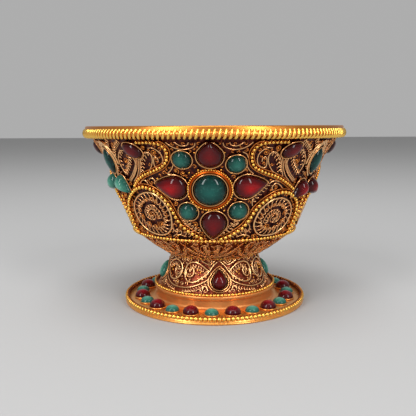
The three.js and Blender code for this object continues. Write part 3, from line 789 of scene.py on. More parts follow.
def bead_rings():
    """The bead rows of the plate, the collar, the stem and the hip, each with its own pitch"""
    overhang = 0.2 * MM
    edge_size, edge_level = 1.56 * MM, plate_top + 0.3 * MM
    ledge_size, ledge_level = 1.2 * MM, collar_top + 0.36 * MM
    edge_reach = plate_radius + overhang
    ledge_reach = collar_radius + COLLAR_LEDGE + overhang
    stem_level = cup_floor - stem_bead_size / 2
    bead_ring("foot_edge_bead_row", "foot_edge_beads", edge_reach, edge_size, edge_level, 1.4 * MM)
    bead_ring("collar_bead_row", "collar_beads", ledge_reach, ledge_size, ledge_level, 1.15 * MM)
    bead_ring("stem_top_bead_row", "stem_top_beads", stem_bead_reach, stem_bead_size, stem_level, 1.1 * MM)
    bead_ring("border_bead_row", "border_beads", hip_bead_reach, hip_bead_size, hip_bead_level, 1.23 * MM)


def stem_sleeve():
    """The sleeve behind the stem's wire work"""
    stride = 25
    outside = list(zip(STEM.radius[::stride], STEM.height[::stride]))
    inside = [(radius - STEM_WALL, level) for radius, level in outside]
    sleeve = turned("stem_sleeve_ground", [*outside, *reversed(inside)], GROUND)
    settled(sleeve, "gilt_metal", "stem_sleeve")


def inner_cup():
    """The cup's bright lining with its lip, and the red ground on its outside"""
    face_steps = 25

    def face(wall, depth):
        """Outline points up a wall, at a depth under its face"""
        up = np.linspace(0, wall.length, face_steps)
        points, _ = wall.place(np.stack([np.zeros(face_steps), up], -1), -depth)
        return [(-point[1], point[2]) for point in points]

    throat = rope_reach - (rope_top - wall_top) - SEAT_GAP
    lip_round = 0.5 * MM
    lip_under = rope_top - 0.25 * MM
    coat = 0.25 * MM
    floor_top = cup_floor + CUP_FLOOR_THICKNESS
    ground = turned("cup_red_ground", [
        (0, cup_floor), *face(CALYX, 0), *face(BOWL, 0)[1:], (throat, lip_under), (throat - coat, lip_under),
        *reversed(face(BOWL, coat)), *reversed(face(CALYX, coat)[:-1]), (0, cup_floor + coat),
    ], GROUND, closed=False)
    settled(ground, "cup_lining", "inner_cup")
    lining = turned("cup_lining", [
        (0, cup_floor + coat), *face(CALYX, coat), *face(BOWL, coat)[1:], (throat - coat, lip_under),
        (throat, lip_under),
        *arc((rope_reach - 2 * lip_round, lip_under + lip_round / 2), lip_round / 2, -90, 20),
        *arc((lip_reach - lip_round, rim_level - lip_round), lip_round, 20, 90),
        *arc((throat - CUP_WALL + lip_round, rim_level - lip_round), lip_round, 90, 180),
        *reversed(face(BOWL, CUP_WALL)), (CUP_FLOOR_RADIUS, floor_top), (0, floor_top),
    ], LINING, closed=False)
    settled(lining, "cup_lining", "inner_cup")


def rim_rope():
    """A wire coiled tightly round a core, under the lip"""
    strand_share, twist_share, core_share = 0.2, 0.3, 0.34
    size = rope_top - wall_top
    pitch = 1.5 * MM
    climb = 0.36 * MM
    middle = rope_reach - size / 2
    strokes = Strokes()
    strokes.ring(middle, wall_top + size / 2 + climb, count=720)
    turns = round(2 * math.pi * middle / pitch)
    coil = worked(
        "rope_coil", strokes, ROPE, BEAD, Turns=turns, Strand_Radius=size * strand_share,
        Twist_Radius=size * twist_share, Rise_Radius=size * twist_share + climb,
    )
    # The core is in the shaded gilt, as painted shade between the coil's turns
    core = worked("rope_core", strokes, WIRES, SHADED_GILT, Wire_Radius=size * core_share, Sides=12)
    settled(joined("rim_rope_coil", [coil, core]), "gilt_metal", "rim_rope")


# Stones

OUTLINE_STATIONS = 48
DOME_RINGS = 9


def oval_outline(length, width):
    """The points of an upright oval, as a function of how far it is grown"""
    angle = round_angles(OUTLINE_STATIONS)
    cosine, sine = np.cos(angle), np.sin(angle)
    return lambda grow: np.stack([(width / 2 + grow) * cosine, (length / 2 + grow) * sine], -1)


def round_outline(radius):
    """The same for a circle"""
    return oval_outline(2 * radius, 2 * radius)


def drop_outline(radius, reach):
    """The same for a drop, with its round head on the middle and its tip upwards"""
    tip_growth = 1.2
    bulge = 0.2
    flank_steps = 9

    def outline(grow):
        size = radius + grow
        tip = np.array([0, reach + grow * tip_growth])
        shoulder = math.acos(size / tip[1])
        turn = np.linspace(shoulder, 2 * math.pi - shoulder, OUTLINE_STATIONS - 2 * flank_steps)
        head = size * np.stack([-np.sin(turn), np.cos(turn)], -1)
        share = np.linspace(0, 1, flank_steps + 1)[:-1, None]
        control = (head[0] + tip) / 2 - [bulge * radius, 0]
        flank = (1 - share) ** 2 * tip + 2 * share * (1 - share) * control + share ** 2 * head[0]
        mirrored = flank[1:][::-1] * [-1, 1]
        return np.vstack([flank, head, mirrored])

    return outline


def bud_outline(length, width):
    """The same for a pointed bud between two arcs, with its tips up and down"""
    slimming = 0.35
    angle = round_angles(OUTLINE_STATIONS)
    cosine, sine = np.cos(angle), np.sin(angle)
    slim = np.abs(sine) ** slimming
    return lambda grow: np.stack([-(width / 2 + grow) * sine * slim, (length / 2 + grow) * cosine], -1)


class Setting:
    """Where a stone sits on a wall, which way it is turned, and its form"""

    def __init__(self, wall, middle, turn, outline, dome, finish, girdle=0.75 * MM):
        self.wall, self.middle, self.turn = wall, np.asarray(middle, float), turn
        self.outline, self.dome, self.finish, self.girdle = outline, dome, finish, girdle

    def loop(self, grow):
        """The stone's outline, grown by a distance and laid on the wall"""
        return self.wall.laid(self.outline(grow), self.middle, self.turn)


def cabochon(name, setting, turn):
    """A domed stone with an upright girdle, on a flat base that its collar hides"""
    sink = 0.5 * MM
    outline = setting.outline(0)
    centre = outline.mean(0)
    count = len(outline)
    angles = [ring / DOME_RINGS * math.pi / 2 for ring in range(DOME_RINGS)]
    rows = [(1.0, -sink)] + [(math.cos(a), setting.girdle + setting.dome * math.sin(a)) for a in angles]
    foot, outward = (found[0] for found in setting.wall.place(setting.middle[None], SEAT_GAP, turn))
    bearing = setting.middle[0] / setting.wall.reference + turn
    across = np.array([math.cos(bearing), math.sin(bearing), 0])
    up = np.cross(outward, across)
    sine, cosine = math.sin(setting.turn), math.cos(setting.turn)

    def raised(flat, height):
        """Points of the outline in space, at a height over the stone's seat"""
        right = cosine * flat[:, :1] - sine * flat[:, 1:]
        rise = sine * flat[:, :1] + cosine * flat[:, 1:]
        return foot + right * across + rise * up + height * outward

    points = [raised(centre + (outline - centre) * share, height) for share, height in rows]
    points.append(raised(centre[None], setting.girdle + setting.dome))
    rings = np.arange(count * len(rows)).reshape(-1, count).tolist()
    faces = [rings[0][::-1]] + skin(rings + [[count * len(rows)] * count], closed=False)
    # The crown runs from 0 at the rim to 1 on top, for the stone finish's painted rim shade and crown glow
    crown = np.repeat([1 - share for share, _ in rows] + [1.0], [count] * len(rows) + [1])
    return solid(name, np.vstack(points), faces, setting.finish, {"crown": crown})


def collar_ring(name, setting, profile, finish, turn):
    """A ring of metal round a stone, from a profile of (growth, lift) points"""
    loops = [setting.wall.place(setting.loop(grow), lift, turn)[0] for grow, lift in profile]
    count = len(loops[0])
    rings = np.arange(count * len(loops)).reshape(-1, count).tolist()
    # The lift runs from -1 at the foot to 1 at the top, so a lifted finish paints the top as a highlight and
    # the foot as shade
    lifts = np.array([lift for _, lift in profile])
    height = np.interp(lifts, (lifts.min(), lifts.max()), (-1, 1))
    return solid(name, np.vstack(loops), skin(rings, closed=True), finish, {"lift": np.repeat(height, count)})


# Wire work

BEZEL_GAP = 0.3 * MM
BEZEL_WIDTH = 0.5 * MM
ROW_LIFT = 1.12 * MM
WIRE_LIFT = 0.72 * MM
FINE_WIRE = 0.2 * MM
BEAD_RADIUS = 0.5 * MM
BEAD_PITCH = 1.08 * MM
SCROLL_SPACING = 0.78 * MM
SCROLL_GAP = 0.06 * MM
GOLDEN_ANGLE = math.radians(137.5)

# How far each kind of work reaches beside its stroke, and the collars beside the stones
ROW_HALF = 0.6 * MM
BED_HALF = 0.3 * MM
WIRE_HALF = 0.2 * MM
CURL_HALF = 0.9 * MM
COLLAR_HALF = 0.15 * MM


class Work:
    """Wire work on a wall, sorted by what hangs on its strokes. Dark fill draws its filling scrolls in
    the shaded gilt, as painted shade.
    """

    def __init__(self, wall, dark_fill=False):
        self.wall = wall
        self.dark_fill = dark_fill
        self.rows, self.beds, self.wires, self.curls = Strokes(), Strokes(), Strokes(), Strokes()

    def line(self, marks, side=1, closed=False):
        """A smooth flat line through marks, on one side of the middle"""
        return smooth(self.wall.flat(marks, side), closed)

    def wire(self, line, closed=False, size=FINE_WIRE, lift=WIRE_LIFT, turn=0.0):
        """One round wire"""
        self.wires.draw(self.wall, line, lift, closed, size / FINE_WIRE, turn)

    def row(self, line, closed=False, size=BEAD_RADIUS, lift=ROW_LIFT, turn=0.0):
        """One row of beads"""
        self.rows.draw(self.wall, line, lift, closed, size / BEAD_RADIUS, turn)

    def bedded_row(self, line, size=BEAD_RADIUS, rails=(-1, 1)):
        """A row of beads on a broad wire, with a thin wire along its sides"""
        bed_drop, bed_share, rail_share = 0.9, 0.6, 1.4
        self.row(line, size=size)
        # The broad wire and the side wires go with the beds in the shaded gilt, as painted shade under and
        # beside the beads
        self.beds.draw(self.wall, line, ROW_LIFT - size * bed_drop, share=size * bed_share / FINE_WIRE)
        for side in rails:
            self.beds.draw(self.wall, beside(self.wall, line, side * size * rail_share), WIRE_LIFT)

    def comb(self, line, size, turn=0.0):
        """A row of curls. They hang on the left of the line, or on its right if the size is negative."""
        self.curls.draw(self.wall, line, WIRE_LIFT, share=size, turn=turn)

    def dot(self, spot, size, turn=0.0):
        """One granule, on a stroke as long as one bead's pitch"""
        reach = BEAD_PITCH * size / BEAD_RADIUS
        self.row(np.array([spot, spot + [reach, 0]]), size=size, lift=WIRE_LIFT, turn=turn)

    def scroll(self, spot, size, hand, heading, turn=0.0):
        """A scroll that winds inwards to a granule"""
        fewest_turns, most_turns = 0.75, 2.1
        steps_per_turn = 14
        winding, easing = 0.78, 0.85
        thinness = 0.9
        smallest_with_granule, granule = 0.8 * MM, 0.26 * MM
        turns = min(max(size / SCROLL_SPACING, fewest_turns), most_turns)
        share = np.linspace(0, 1, math.ceil(steps_per_turn * turns) + 1)
        angle = heading + hand * share * turns * 2 * math.pi
        radius = size * (1 - winding * share ** easing)
        outline = np.stack([radius * np.cos(angle), radius * np.sin(angle)], -1)
        # The beds are drawn in the shaded gilt, so dark fill gives these scrolls painted shade
        strokes = self.beds if self.dark_fill else self.wires
        strokes.draw(self.wall, self.wall.laid(outline, spot, 0.0), WIRE_LIFT, share=thinness, turn=turn)
        if size > smallest_with_granule:
            self.dot(spot, granule, turn)

    def taken(self, loops):
        """What is taken up on the wall: points in space, with how far the work reaches beside them"""
        for strokes, half in (
            (self.rows, ROW_HALF), (self.beds, BED_HALF), (self.wires, WIRE_HALF), (self.curls, CURL_HALF),
        ):
            yield strokes.points, half
        shares = np.linspace(0.05, 1, 14)
        filled = []
        for loop in loops:
            middle = loop.mean(0)
            filled += [self.wall.place(middle + (loop - middle) * share, WIRE_LIFT)[0] for share in shares]
        yield filled, COLLAR_HALF

    def fill(self, reach, loops, largest):
        """Winds scrolls into the gaps that the strokes and the stones leave, the widest gaps first"""
        step = 0.36 * MM
        border = 0.35 * MM
        least = 0.36 * MM
        across, up = np.arange(-reach, reach, step), np.arange(border, self.wall.length - border, step)
        flats = np.stack(np.meshgrid(across, up), -1).reshape(-1, 2)
        spots, _ = self.wall.place(flats, WIRE_LIFT)
        beside_edge = (reach - np.abs(flats[:, 0])) * self.wall.widening(flats[:, 1])
        room = np.minimum(np.minimum(flats[:, 1], self.wall.length - flats[:, 1]), beside_edge)
        for found, half in self.taken(loops):
            if not found:
                continue
            points = np.vstack(found)
            tree = KDTree(len(points))
            for index, point in enumerate(points):
                tree.insert(point, index)
            tree.balance()
            room = np.minimum(room, np.array([tree.find(spot)[2] for spot in spots]) - half)
        count = 0
        while room.max() > least + SCROLL_GAP:
            widest = room.argmax()
            size = min(room[widest] - SCROLL_GAP, largest)
            self.scroll(flats[widest], size, 1 if count % 2 else -1, count * GOLDEN_ANGLE)
            room = np.minimum(room, np.linalg.norm(spots - spots[widest], axis=1) - size)
            count += 1

    def pieces(self, name):
        """The finished wire work in pieces, one for its rows and one for its wires"""
        rows = worked(f"{name}_beads", self.rows, BEADS, BEAD, Pitch=BEAD_PITCH, Bead_Radius=BEAD_RADIUS)
        if self.beds.points:
            # The beds take the shaded gilt, as painted shade under the beads
            beds = worked(f"{name}_beds", self.beds, WIRES, SHADED_GILT, Wire_Radius=FINE_WIRE)
            rows = joined(f"{name}_beads", [rows, beds])
        wires = worked(f"{name}_wires", self.wires, WIRES, WIRE, Wire_Radius=FINE_WIRE)
        curls = worked(f"{name}_curls", self.curls, CURLS, WIRE)
        return [rows, joined(f"{name}_wires", [wires, curls])]


def bezel(setting, turn, gap=0.16 * MM, width=0.42 * MM, level=0.95 * MM, finish=RING):
    """A low collar round a stone, with a round wire on its top and a gap inside. In the ring gilt its
    top is painted brighter and its foot darker, so the gap is dark with painted shade.
    """
    wire_start, wire_end, wire_steps = -45, 225, 8
    half = width / 2
    middle = gap + half
    neck = half / 2
    foot = min(SEAT_GAP, level / 3)
    wire = arc((middle, level), half, wire_start, wire_end, wire_steps)
    return collar_ring("bezel", setting, [(middle + neck, foot), *wire, (middle - neck, foot)], finish, turn)


def spiralled(outline, turns, start, end):
    """A line that winds inwards from a closed outline, from one share of its size to another"""
    easing = 0.9
    middle = outline.mean(0)
    count = int(len(outline) * turns)
    share = np.linspace(0, 1, count)[:, None]
    spot = outline[np.arange(count) % len(outline)]
    return middle + (spot - middle) * (start + (end - start) * share ** easing)


# The strokes of a bowl panel's halves, in degrees from its middle and millimetres of height. The
# work was made by hand, so its left and right halves differ.
SCROLLS = {
    -1: [
        (31, 54.9), (25, 55), (20.5, 54.3), (18.3, 52.5), (19.2, 49.6), (22.2, 47.7), (26.9, 46.4),
        (34.1, 44.8), (38.7, 43.2), (42.5, 41.4),
    ],
    1: [
        (33, 54.9), (26, 55), (20.8, 54.2), (18.5, 52.5), (18.4, 50), (20.3, 47.7), (25.4, 46), (33, 44.5),
        (40, 42.5), (46.5, 40.4),
    ],
}
LEAVES = {
    -1: [
        (57.6, 25.9), (57.8, 28.5), (57.4, 31.5), (55.8, 34.2), (52.8, 36.3), (47.4, 38.7), (40.7, 40.7),
        (35.5, 41.2), (30, 40.4), (26, 38.9), (23, 37), (20.9, 34.6), (19, 32.2), (16.7, 30.1),
        (13.2, 28.4), (8.7, 27), (6, 26.3),
    ],
    1: [
        (57.6, 25.9), (57.8, 28.5), (57.4, 31.5), (56, 34), (52.5, 36.6), (47, 38.5), (41.5, 39.5),
        (36, 39.3), (31.5, 38.2), (27.5, 36.7), (25, 35.2), (23.1, 33.6), (21, 31.4), (18.5, 29.6),
        (13.7, 27.8), (9.1, 26.6), (6, 26.1),
    ],
}
EGGS = {
    -1: [
        (22.6, 31.8), (22.9, 34.3), (26, 37.4), (30.1, 39.1), (33.8, 39.6), (38, 39.2), (42, 38.3),
        (46, 36.8), (49.5, 34.8), (50.8, 32.5), (49.8, 29.9), (45.5, 27.6), (39, 26.6), (33, 26.4),
        (27.5, 27.2), (24, 29),
    ],
    1: [
        (25.5, 29.7), (25.4, 31.5), (27.5, 34.5), (30.9, 36.4), (35, 37.5), (40, 37.7), (45, 36.8),
        (49.5, 35), (52.3, 32.5), (52, 29.9), (49, 27.8), (44, 26.5), (38, 26.2), (32, 26.5), (28, 27.6),
    ],
}
CENTRE_SCROLLS = {
    -1: [
        [(38.2, 42.2), (36.5, 43.1), (34.6, 43.2), (33.2, 42.6), (33, 41.9)],
        [(31.5, 43.6), (29.8, 44), (28.3, 43.4), (28.4, 42.7)],
        [(44.5, 40.8), (42.6, 41.6), (40.8, 42.2), (39.6, 41.8)],
    ],
    1: [
        [(33, 40.3), (32.1, 41.1), (32.9, 41.9), (34.5, 42.3), (36.6, 41.8), (38.9, 40.8)],
        [(30, 42.3), (31.5, 42.9), (33.4, 43.1), (35.9, 42.7)],
        [(22.5, 38.2), (21.9, 37.2), (22.4, 36)],
    ],
}
DROP_COMBS = {
    -1: [(24.5, 39.4), (26.3, 40.4), (27.8, 41.2)],
    1: [(24, 37.3), (25.6, 38.6), (27.6, 39.9), (29.6, 41), (30.6, 41.9)],
}
OPEN_SPIRAL = [
    (27, 52.9), (24.9, 53), (22.9, 52.3), (21.6, 51.3), (21.2, 49.8), (22, 48.3), (24, 47.3), (26, 47.2),
    (26.2, 49), (25, 50.3), (23.8, 50), (23.7, 49),
]
NEAR_PAISLEY = [
    (33.5, 45), (30.5, 46), (28.5, 47.3), (27, 48.9), (26.5, 50.5), (27.4, 51.5), (29, 51.7), (31, 51),
    (33.1, 49.6), (34.7, 47.9), (35.9, 46), (37.2, 44.4),
]
NEAR_COMB = [(28.2, 50.6), (29.8, 49.8), (31.4, 48.6), (32.7, 46.9), (33.7, 45.6)]
STEMS = [
    [(33.5, 50.4), (35.4, 48.2), (36.9, 46.2), (39, 44.4), (42.6, 42.7)],
    [(35.7, 49.2), (38, 46.6), (41.3, 44.4), (45.5, 42.5)],
    [(34.5, 51.2), (36.2, 49.4), (38.4, 47.4), (42, 45), (46.5, 43)],
]
FAR_PAISLEY = [
    (46.5, 42.6), (42.4, 44.2), (39.6, 45.9), (38, 47.5), (37.5, 49), (38.5, 50.3), (40.4, 51.3),
    (42.6, 52), (45, 51.8), (48.4, 50.4), (50.4, 48.9), (50.6, 47.5), (49.7, 46.2), (48.2, 44.6),
]
FAR_COMBS = [
    [(39.3, 49.3), (40.6, 48.1), (42.3, 46.8), (44.5, 45.6), (46.8, 44.4)],
    [(44.3, 51), (46.5, 50), (47.6, 48.6), (47.8, 47.2)],
    [(42.5, 54), (44.6, 53.3), (47.2, 52.4), (49.6, 51.3), (51.6, 49.8)],
    [(50.5, 54.4), (52.6, 53.2), (54, 51.6), (54.6, 49.6)],
    [(52.5, 46.6), (51.5, 45), (50, 43.6)],
]
BUD_FRAMES = [
    [(63, 54.5), (58.2, 53.2), (55.9, 51.4), (54.9, 49.3), (54.8, 47.6), (55.7, 45.6), (58.2, 43.9)],
    [(60, 54.7), (56.4, 53.4), (53.8, 51.6), (52.6, 49.6), (52.2, 47.6)],
]
LOW_SCROLLS = [
    [(21.2, 30.6), (22.9, 29.7), (22.9, 28.5), (21.6, 27.8), (20.1, 28.2), (20.6, 29)],
    [(8.7, 29.3), (10.2, 28.3), (12, 28.1), (12.8, 28.8), (11.6, 29.4)],
    [(11, 31), (12.6, 30.4), (14.4, 30.2), (15.6, 30.8), (14.4, 31.4)],
    [(24.5, 26.2), (22.4, 26.8), (19, 26.9), (15.5, 26.4)],
]
LOW_COMBS = [
    [(8.2, 27.8), (12.5, 29.2), (15.8, 30.9), (17.6, 32.6)],
    [(14, 26.4), (17.5, 26.9), (21, 27.2), (24.4, 27.6)],
]
ALMOND = [(5.4, 54.6), (6, 53.6), (7.5, 53), (10.5, 52.6), (13.8, 52.9), (16.4, 53.8), (17.6, 54.7)]
ALMOND_HEARTS = [
    [(8, 54.7), (8.8, 53.9), (10.6, 53.6), (12.7, 54), (14, 54.7)],
    [(15.6, 50), (16.6, 48.2), (18.2, 46.6), (20.4, 45.4), (17.6, 45.2)],
    [(14, 51.9), (15.8, 51.3), (16.9, 50.2)],
]
GRANULES = [(6.3, 51.7), (5.2, 46.7), (8.6, 37.6), (9.6, 45.9), (26.4, 43.9), (20.9, 26.6), (7.3, 34.8)]
PILLAR = [(60, 25.9), (60, 30), (60, 34), (60, 37.4)]


def panel_settings(index):
    """Each stone of a bowl panel by name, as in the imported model"""
    half = math.pi * BOWL.reference / PANELS
    height = wall_top - hip_level
    centre_rise, bud_rise = 0.53, 0.79
    centre_radius, centre_collar, drop_radius, round_radius = 4.5 * MM, 1.6 * MM, 3.5 * MM, 2.6 * MM
    leaf_radius = 2.4 * MM
    around = centre_radius + centre_collar + 2 * BEZEL_GAP + drop_radius
    beside_edge = leaf_radius + BEZEL_GAP + BEZEL_WIDTH + SEAT_GAP / 2
    pillar_lifts = (-0.012, 0.01, 0.036)
    settings = {}

    def up_to(rise):
        """How far up the slope a share of the bowl's height lies"""
        return np.interp(hip_level + height * rise, BOWL.height, BOWL.slope)

    def from_centre(across_share, rise_share):
        """A spot by the centre stone, in shares of the distance to the drops round it"""
        up = up_to(centre_rise) + rise_share * around
        return (across_share * around / BOWL.widening(up), up)

    def put(name, finish, dome, outline, spot, turn=0):
        """Adds a stone, with its dome in millimetres and its turn in degrees"""
        settings[name] = Setting(BOWL, spot, math.radians(turn), outline, dome * MM, finish)

    put("centre_stone", DARK_GREEN, 2.4, round_outline(centre_radius), from_centre(0, 0))
    upper_drop, lower_drop, side_drop = (drop_outline(drop_radius, reach * MM) for reach in (4.9, 5.6, 6.2))
    put("drop_stone_top", RED, 2.2, upper_drop, from_centre(0.012, 1.04))
    put("drop_stone_bottom", RED, 2.2, lower_drop, from_centre(0.094, -1.01), 176)
    small_round = round_outline(round_radius)
    shoulder, leaf = oval_outline(6.8 * MM, 4.6 * MM), drop_outline(leaf_radius, 4.6 * MM)
    # Where each side's drop, two small rounds and shoulder oval lie, across and up
    for side, hand, drop_spot, upper_spot, lower_spot, (across, rise) in (
        (-1, "left", (-0.96, 0.07), (-0.745, 0.93), (-0.615, -0.67), (-0.597, 0.916)),
        (1, "right", (0.995, 0.09), (0.715, 0.79), (0.77, -0.65), (0.627, 0.916)),
    ):
        pillar = (index + (PANELS - 1 if side < 0 else 0)) % PANELS
        leaf_up = up_to(centre_rise + pillar_lifts[pillar])
        leaf_spot = (side * (half - beside_edge / BOWL.widening(leaf_up)), leaf_up)
        leaf_finish = GLOWING_RED if pillar == 0 else PALE_GREEN
        put(f"drop_stone_{hand}", GLOWING_RED, 2.2, side_drop, from_centre(*drop_spot), -side * 79)
        put(f"round_stone_upper_{hand}", GREEN, 1.7, small_round, from_centre(*upper_spot))
        put(f"round_stone_lower_{hand}", GREEN, 1.7, small_round, from_centre(*lower_spot))
        put(f"shoulder_stone_{hand}", RED, 1.5, shoulder, (across * half, up_to(rise)), -side * 61)
        put(f"leaf_stone_{hand}", leaf_finish, 2.6, leaf, leaf_spot, side * 130)
    # The bud stone takes the dark green as painted shade
    put("bud_stone", DARK_GREEN, 1.5, bud_outline(8.4 * MM, 5.0 * MM), (half, up_to(bud_rise)))
    return settings


# Sizes of a panel's beads and wires, and of its curls as shares of the common curl
SCROLL_BEAD = 0.54 * MM
LEAF_BEAD = 0.64 * MM
PILLAR_BEAD = 0.55 * MM
GRANULE = 0.34 * MM
BUD_WIRE = 0.34 * MM
EGG_WIRE = 0.3 * MM
EGG_LIFT = WIRE_LIFT + 0.15 * MM
HEART_WIRE = 0.15 * MM
EGG_CURL = 1.7
HEART_CURL = 1.1
COMB_CURL = 1.05


def panel_half(work, side):
    """The strokes of one half of a panel"""
    def line(marks, closed=False):
        return work.line(marks, side, closed)

    work.bedded_row(line(SCROLLS[side]), SCROLL_BEAD)
    work.bedded_row(line(LEAVES[side]), LEAF_BEAD, (-side,))
    egg = line(EGGS[side], closed=True)
    work.wire(egg, closed=True, size=EGG_WIRE, lift=EGG_LIFT)
    work.comb(spiralled(egg, turns=1.0, start=0.97, end=0.93), -side * EGG_CURL)
    heart = spiralled(egg, turns=1.25, start=0.54, end=0.12)
    work.wire(heart, size=HEART_WIRE)
    # The last third of the heart winds too tightly for curls
    work.comb(heart[:len(heart) * 2 // 3], -side * HEART_CURL)
    spirals = (OPEN_SPIRAL, NEAR_PAISLEY, FAR_PAISLEY, ALMOND, *ALMOND_HEARTS)
    for marks in (*spirals, *STEMS, *LOW_SCROLLS, *CENTRE_SCROLLS[side]):
        work.wire(line(marks))
    for marks in (NEAR_COMB, *FAR_COMBS, *LOW_COMBS, DROP_COMBS[side]):
        work.comb(line(marks), side * COMB_CURL)
    for marks in BUD_FRAMES:
        work.wire(line(marks), size=BUD_WIRE)
    for spot in work.wall.flat(GRANULES, side):
        work.dot(spot, GRANULE)


# The plain band round a centre stone, and the ring of granules on it: growth from the stone and lift
# off the wall
CENTRE_BAND = [
    (0.8 * MM, 0.4 * MM), (1.95 * MM, 0.4 * MM), (1.9 * MM, 0.6 * MM), (1.45 * MM, 0.7 * MM),
    (1.2 * MM, 1.2 * MM), (0.8 * MM, 1.3 * MM),
]
BAND_GRANULES = (1.72 * MM, 0.95 * MM)


def add_panels():
    """The three panels of the bowl, each with its stones"""
    stone_reach, band_reach, largest_scroll = 0.55 * MM, 1.9 * MM, 1.5 * MM
    work = Work(BOWL, dark_fill=True)
    for side in (-1, 1):
        panel_half(work, side)
    work.bedded_row(work.line(PILLAR), PILLAR_BEAD, ())
    settings = panel_settings(0)
    grow, lift = BAND_GRANULES
    work.row(settings["centre_stone"].loop(grow), closed=True, size=GRANULE, lift=lift)
    loops = [setting.loop(stone_reach) for setting in settings.values()]
    loops += [settings["centre_stone"].loop(band_reach), settings["bud_stone"].loop(BEZEL_GAP) * [-1, 1]]
    work.fill(math.pi * BOWL.reference / PANELS, loops, largest_scroll)
    first = work.pieces("bowl")
    for index in range(PANELS):
        node = f"bowl_filigree_{index + 1}"
        angle = PANEL_TURN + index * 2 * math.pi / PANELS
        for piece in first:
            mesh = piece.data.copy()
            mesh.transform(Matrix.Rotation(angle, 4, "Z"))
            settled(placed(f"{piece.name}_{index + 1}", mesh), "gilt_wire", node)
        rings = []
        for name, setting in panel_settings(index).items():
            rings.append(bezel(setting, angle))
            stone = cabochon(f"{name}_{index + 1}_gem", setting, angle)
            settled(stone, stone_slot(setting.finish), f"{name}_{index + 1}")
            if name == "centre_stone":
                rings.append(collar_ring("band", setting, CENTRE_BAND, ORANGE, angle))
        settled(joined(f"bowl_bezels_{index + 1}", rings), "gilt_wire", node)
    for piece in first:
        bpy.data.objects.remove(piece)


# Stem: the strokes of half the width between two stones, in degrees from a stone
STEM_LEAF = [
    (12.5, 12.2), (17, 13.6), (24, 14.8), (32, 15.2), (39, 14.4), (42.5, 12.5), (41, 10.3), (35.5, 8.9),
    (28, 8.9), (20, 10.3),
]
STEM_HEART = [
    (41.5, 12.2), (38.8, 10.8), (34.5, 10.3), (31, 11.2), (31, 12.6), (33.6, 13.4), (36.4, 12.8),
    (35.6, 11.9),
]
STEM_STALKS = [
    [(10.5, 10.4), (18, 8.9), (27, 7.8), (36, 7.1), (45, 6.9)],
    [(2, 15.6), (7, 14.2), (11, 12.6), (12.5, 12.2)],
    [(5, 15.9), (11, 14.6), (17, 15.2), (22, 16)],
    [(12, 6.6), (14.5, 7.8), (18, 7.6), (17.5, 6.7)],
]
STEM_COMBS = [
    [(15.5, 12.6), (21, 13.6), (27, 14.2), (32, 14.4), (37, 13.8)],
    [(14, 9), (21, 7.9), (30, 7), (40, 6.5)],
    [(18, 11.3), (24, 10.2), (29, 9.7)],
]
STEM_GRANULES = [(22, 12), (25.5, 12.6), (24.5, 11.3), (45, 13.4), (45, 9.2), (45, 11.2)]


def stem_work():
    """The wire work round the stem with its four drop stones"""
    stones = 4
    leaf_wire, stalk_wire, curl = 0.34 * MM, 0.26 * MM, 0.85
    radius, reach, dome = 2.4 * MM, 4.2 * MM, 1.8 * MM
    outer_gap, outer_width = 0.85 * MM, 0.46 * MM
    stone_reach, largest_scroll = 1.3 * MM, 1.0 * MM
    work = Work(STEM)
    seat = 2 * SEAT_GAP + radius + BEZEL_GAP + BEZEL_WIDTH
    rings, loops = [], []
    for index in range(stones):
        angle = STEM_TURN + index * 2 * math.pi / stones
        finish = RED if index % 2 == 0 else PALE_GREEN
        setting = Setting(STEM, (0, seat), 0.0, drop_outline(radius, reach), dome, finish)
        around = setting.loop(stone_reach) + [angle * STEM.reference, 0]
        loops += [around, around - [2 * math.pi * STEM.reference, 0]]
        stone = cabochon(f"stem_stone_{index + 1}_gem", setting, angle)
        settled(stone, stone_slot(finish), f"stem_stone_{index + 1}")
        rings += [bezel(setting, angle), bezel(setting, angle, outer_gap, outer_width)]
        for side in (-1, 1):
            work.wire(work.line(STEM_LEAF, side, closed=True), closed=True, size=leaf_wire, turn=angle)
            for marks in (STEM_HEART, *STEM_STALKS):
                work.wire(work.line(marks, side), size=stalk_wire, turn=angle)
            for marks in STEM_COMBS:
                work.comb(work.line(marks, side), -side * curl, angle)
            for spot in STEM.flat(STEM_GRANULES, side):
                work.dot(spot, GRANULE, angle)
    work.fill(math.pi * STEM.reference, loops, largest_scroll)
    for piece in work.pieces("stem"):
        settled(piece, "gilt_wire", "stem_filigree")
    settled(joined("stem_bezels", rings), "gilt_wire", "stem_filigree")


# Calyx: the strokes of half a loop of its garland, in degrees from the loop's middle
CALYX_LOOPS = 9
CALYX_SWAG = [(0, 18.4), (8, 18.9), (13, 19.9), (17.6, 21.6), (20.6, 23.2), (22, 24.4)]
CALYX_STROKES = [
    [(0, 18.4), (5, 19.6), (8.5, 21.2), (8, 22.8), (4.6, 23.6), (2, 22.8), (2.6, 21.6), (5, 21.6)],
    [(10.5, 19.2), (12.5, 21), (13.6, 22.8), (12, 24.2), (9.6, 24), (10, 22.9)],
    [(20, 19), (16.5, 18.4), (12.5, 18.3)],
    [(20, 21.3), (18.2, 19.7), (20, 18.9)],
]
CALYX_COMBS = [
    [(2, 18.9), (8, 19.6), (12.5, 21.2), (15.6, 23)],
    [(9, 18.3), (14, 19), (18, 20.4), (20, 21.8)],
    [(0.5, 21), (3.4, 19.9), (6.4, 21.4), (6.4, 23)],
]
CALYX_GRANULES = [(0, 24.2), (0, 20.4), (20, 22.6), (15.6, 21), (6.8, 24.3), (16.4, 24.2), (5, 20.8)]


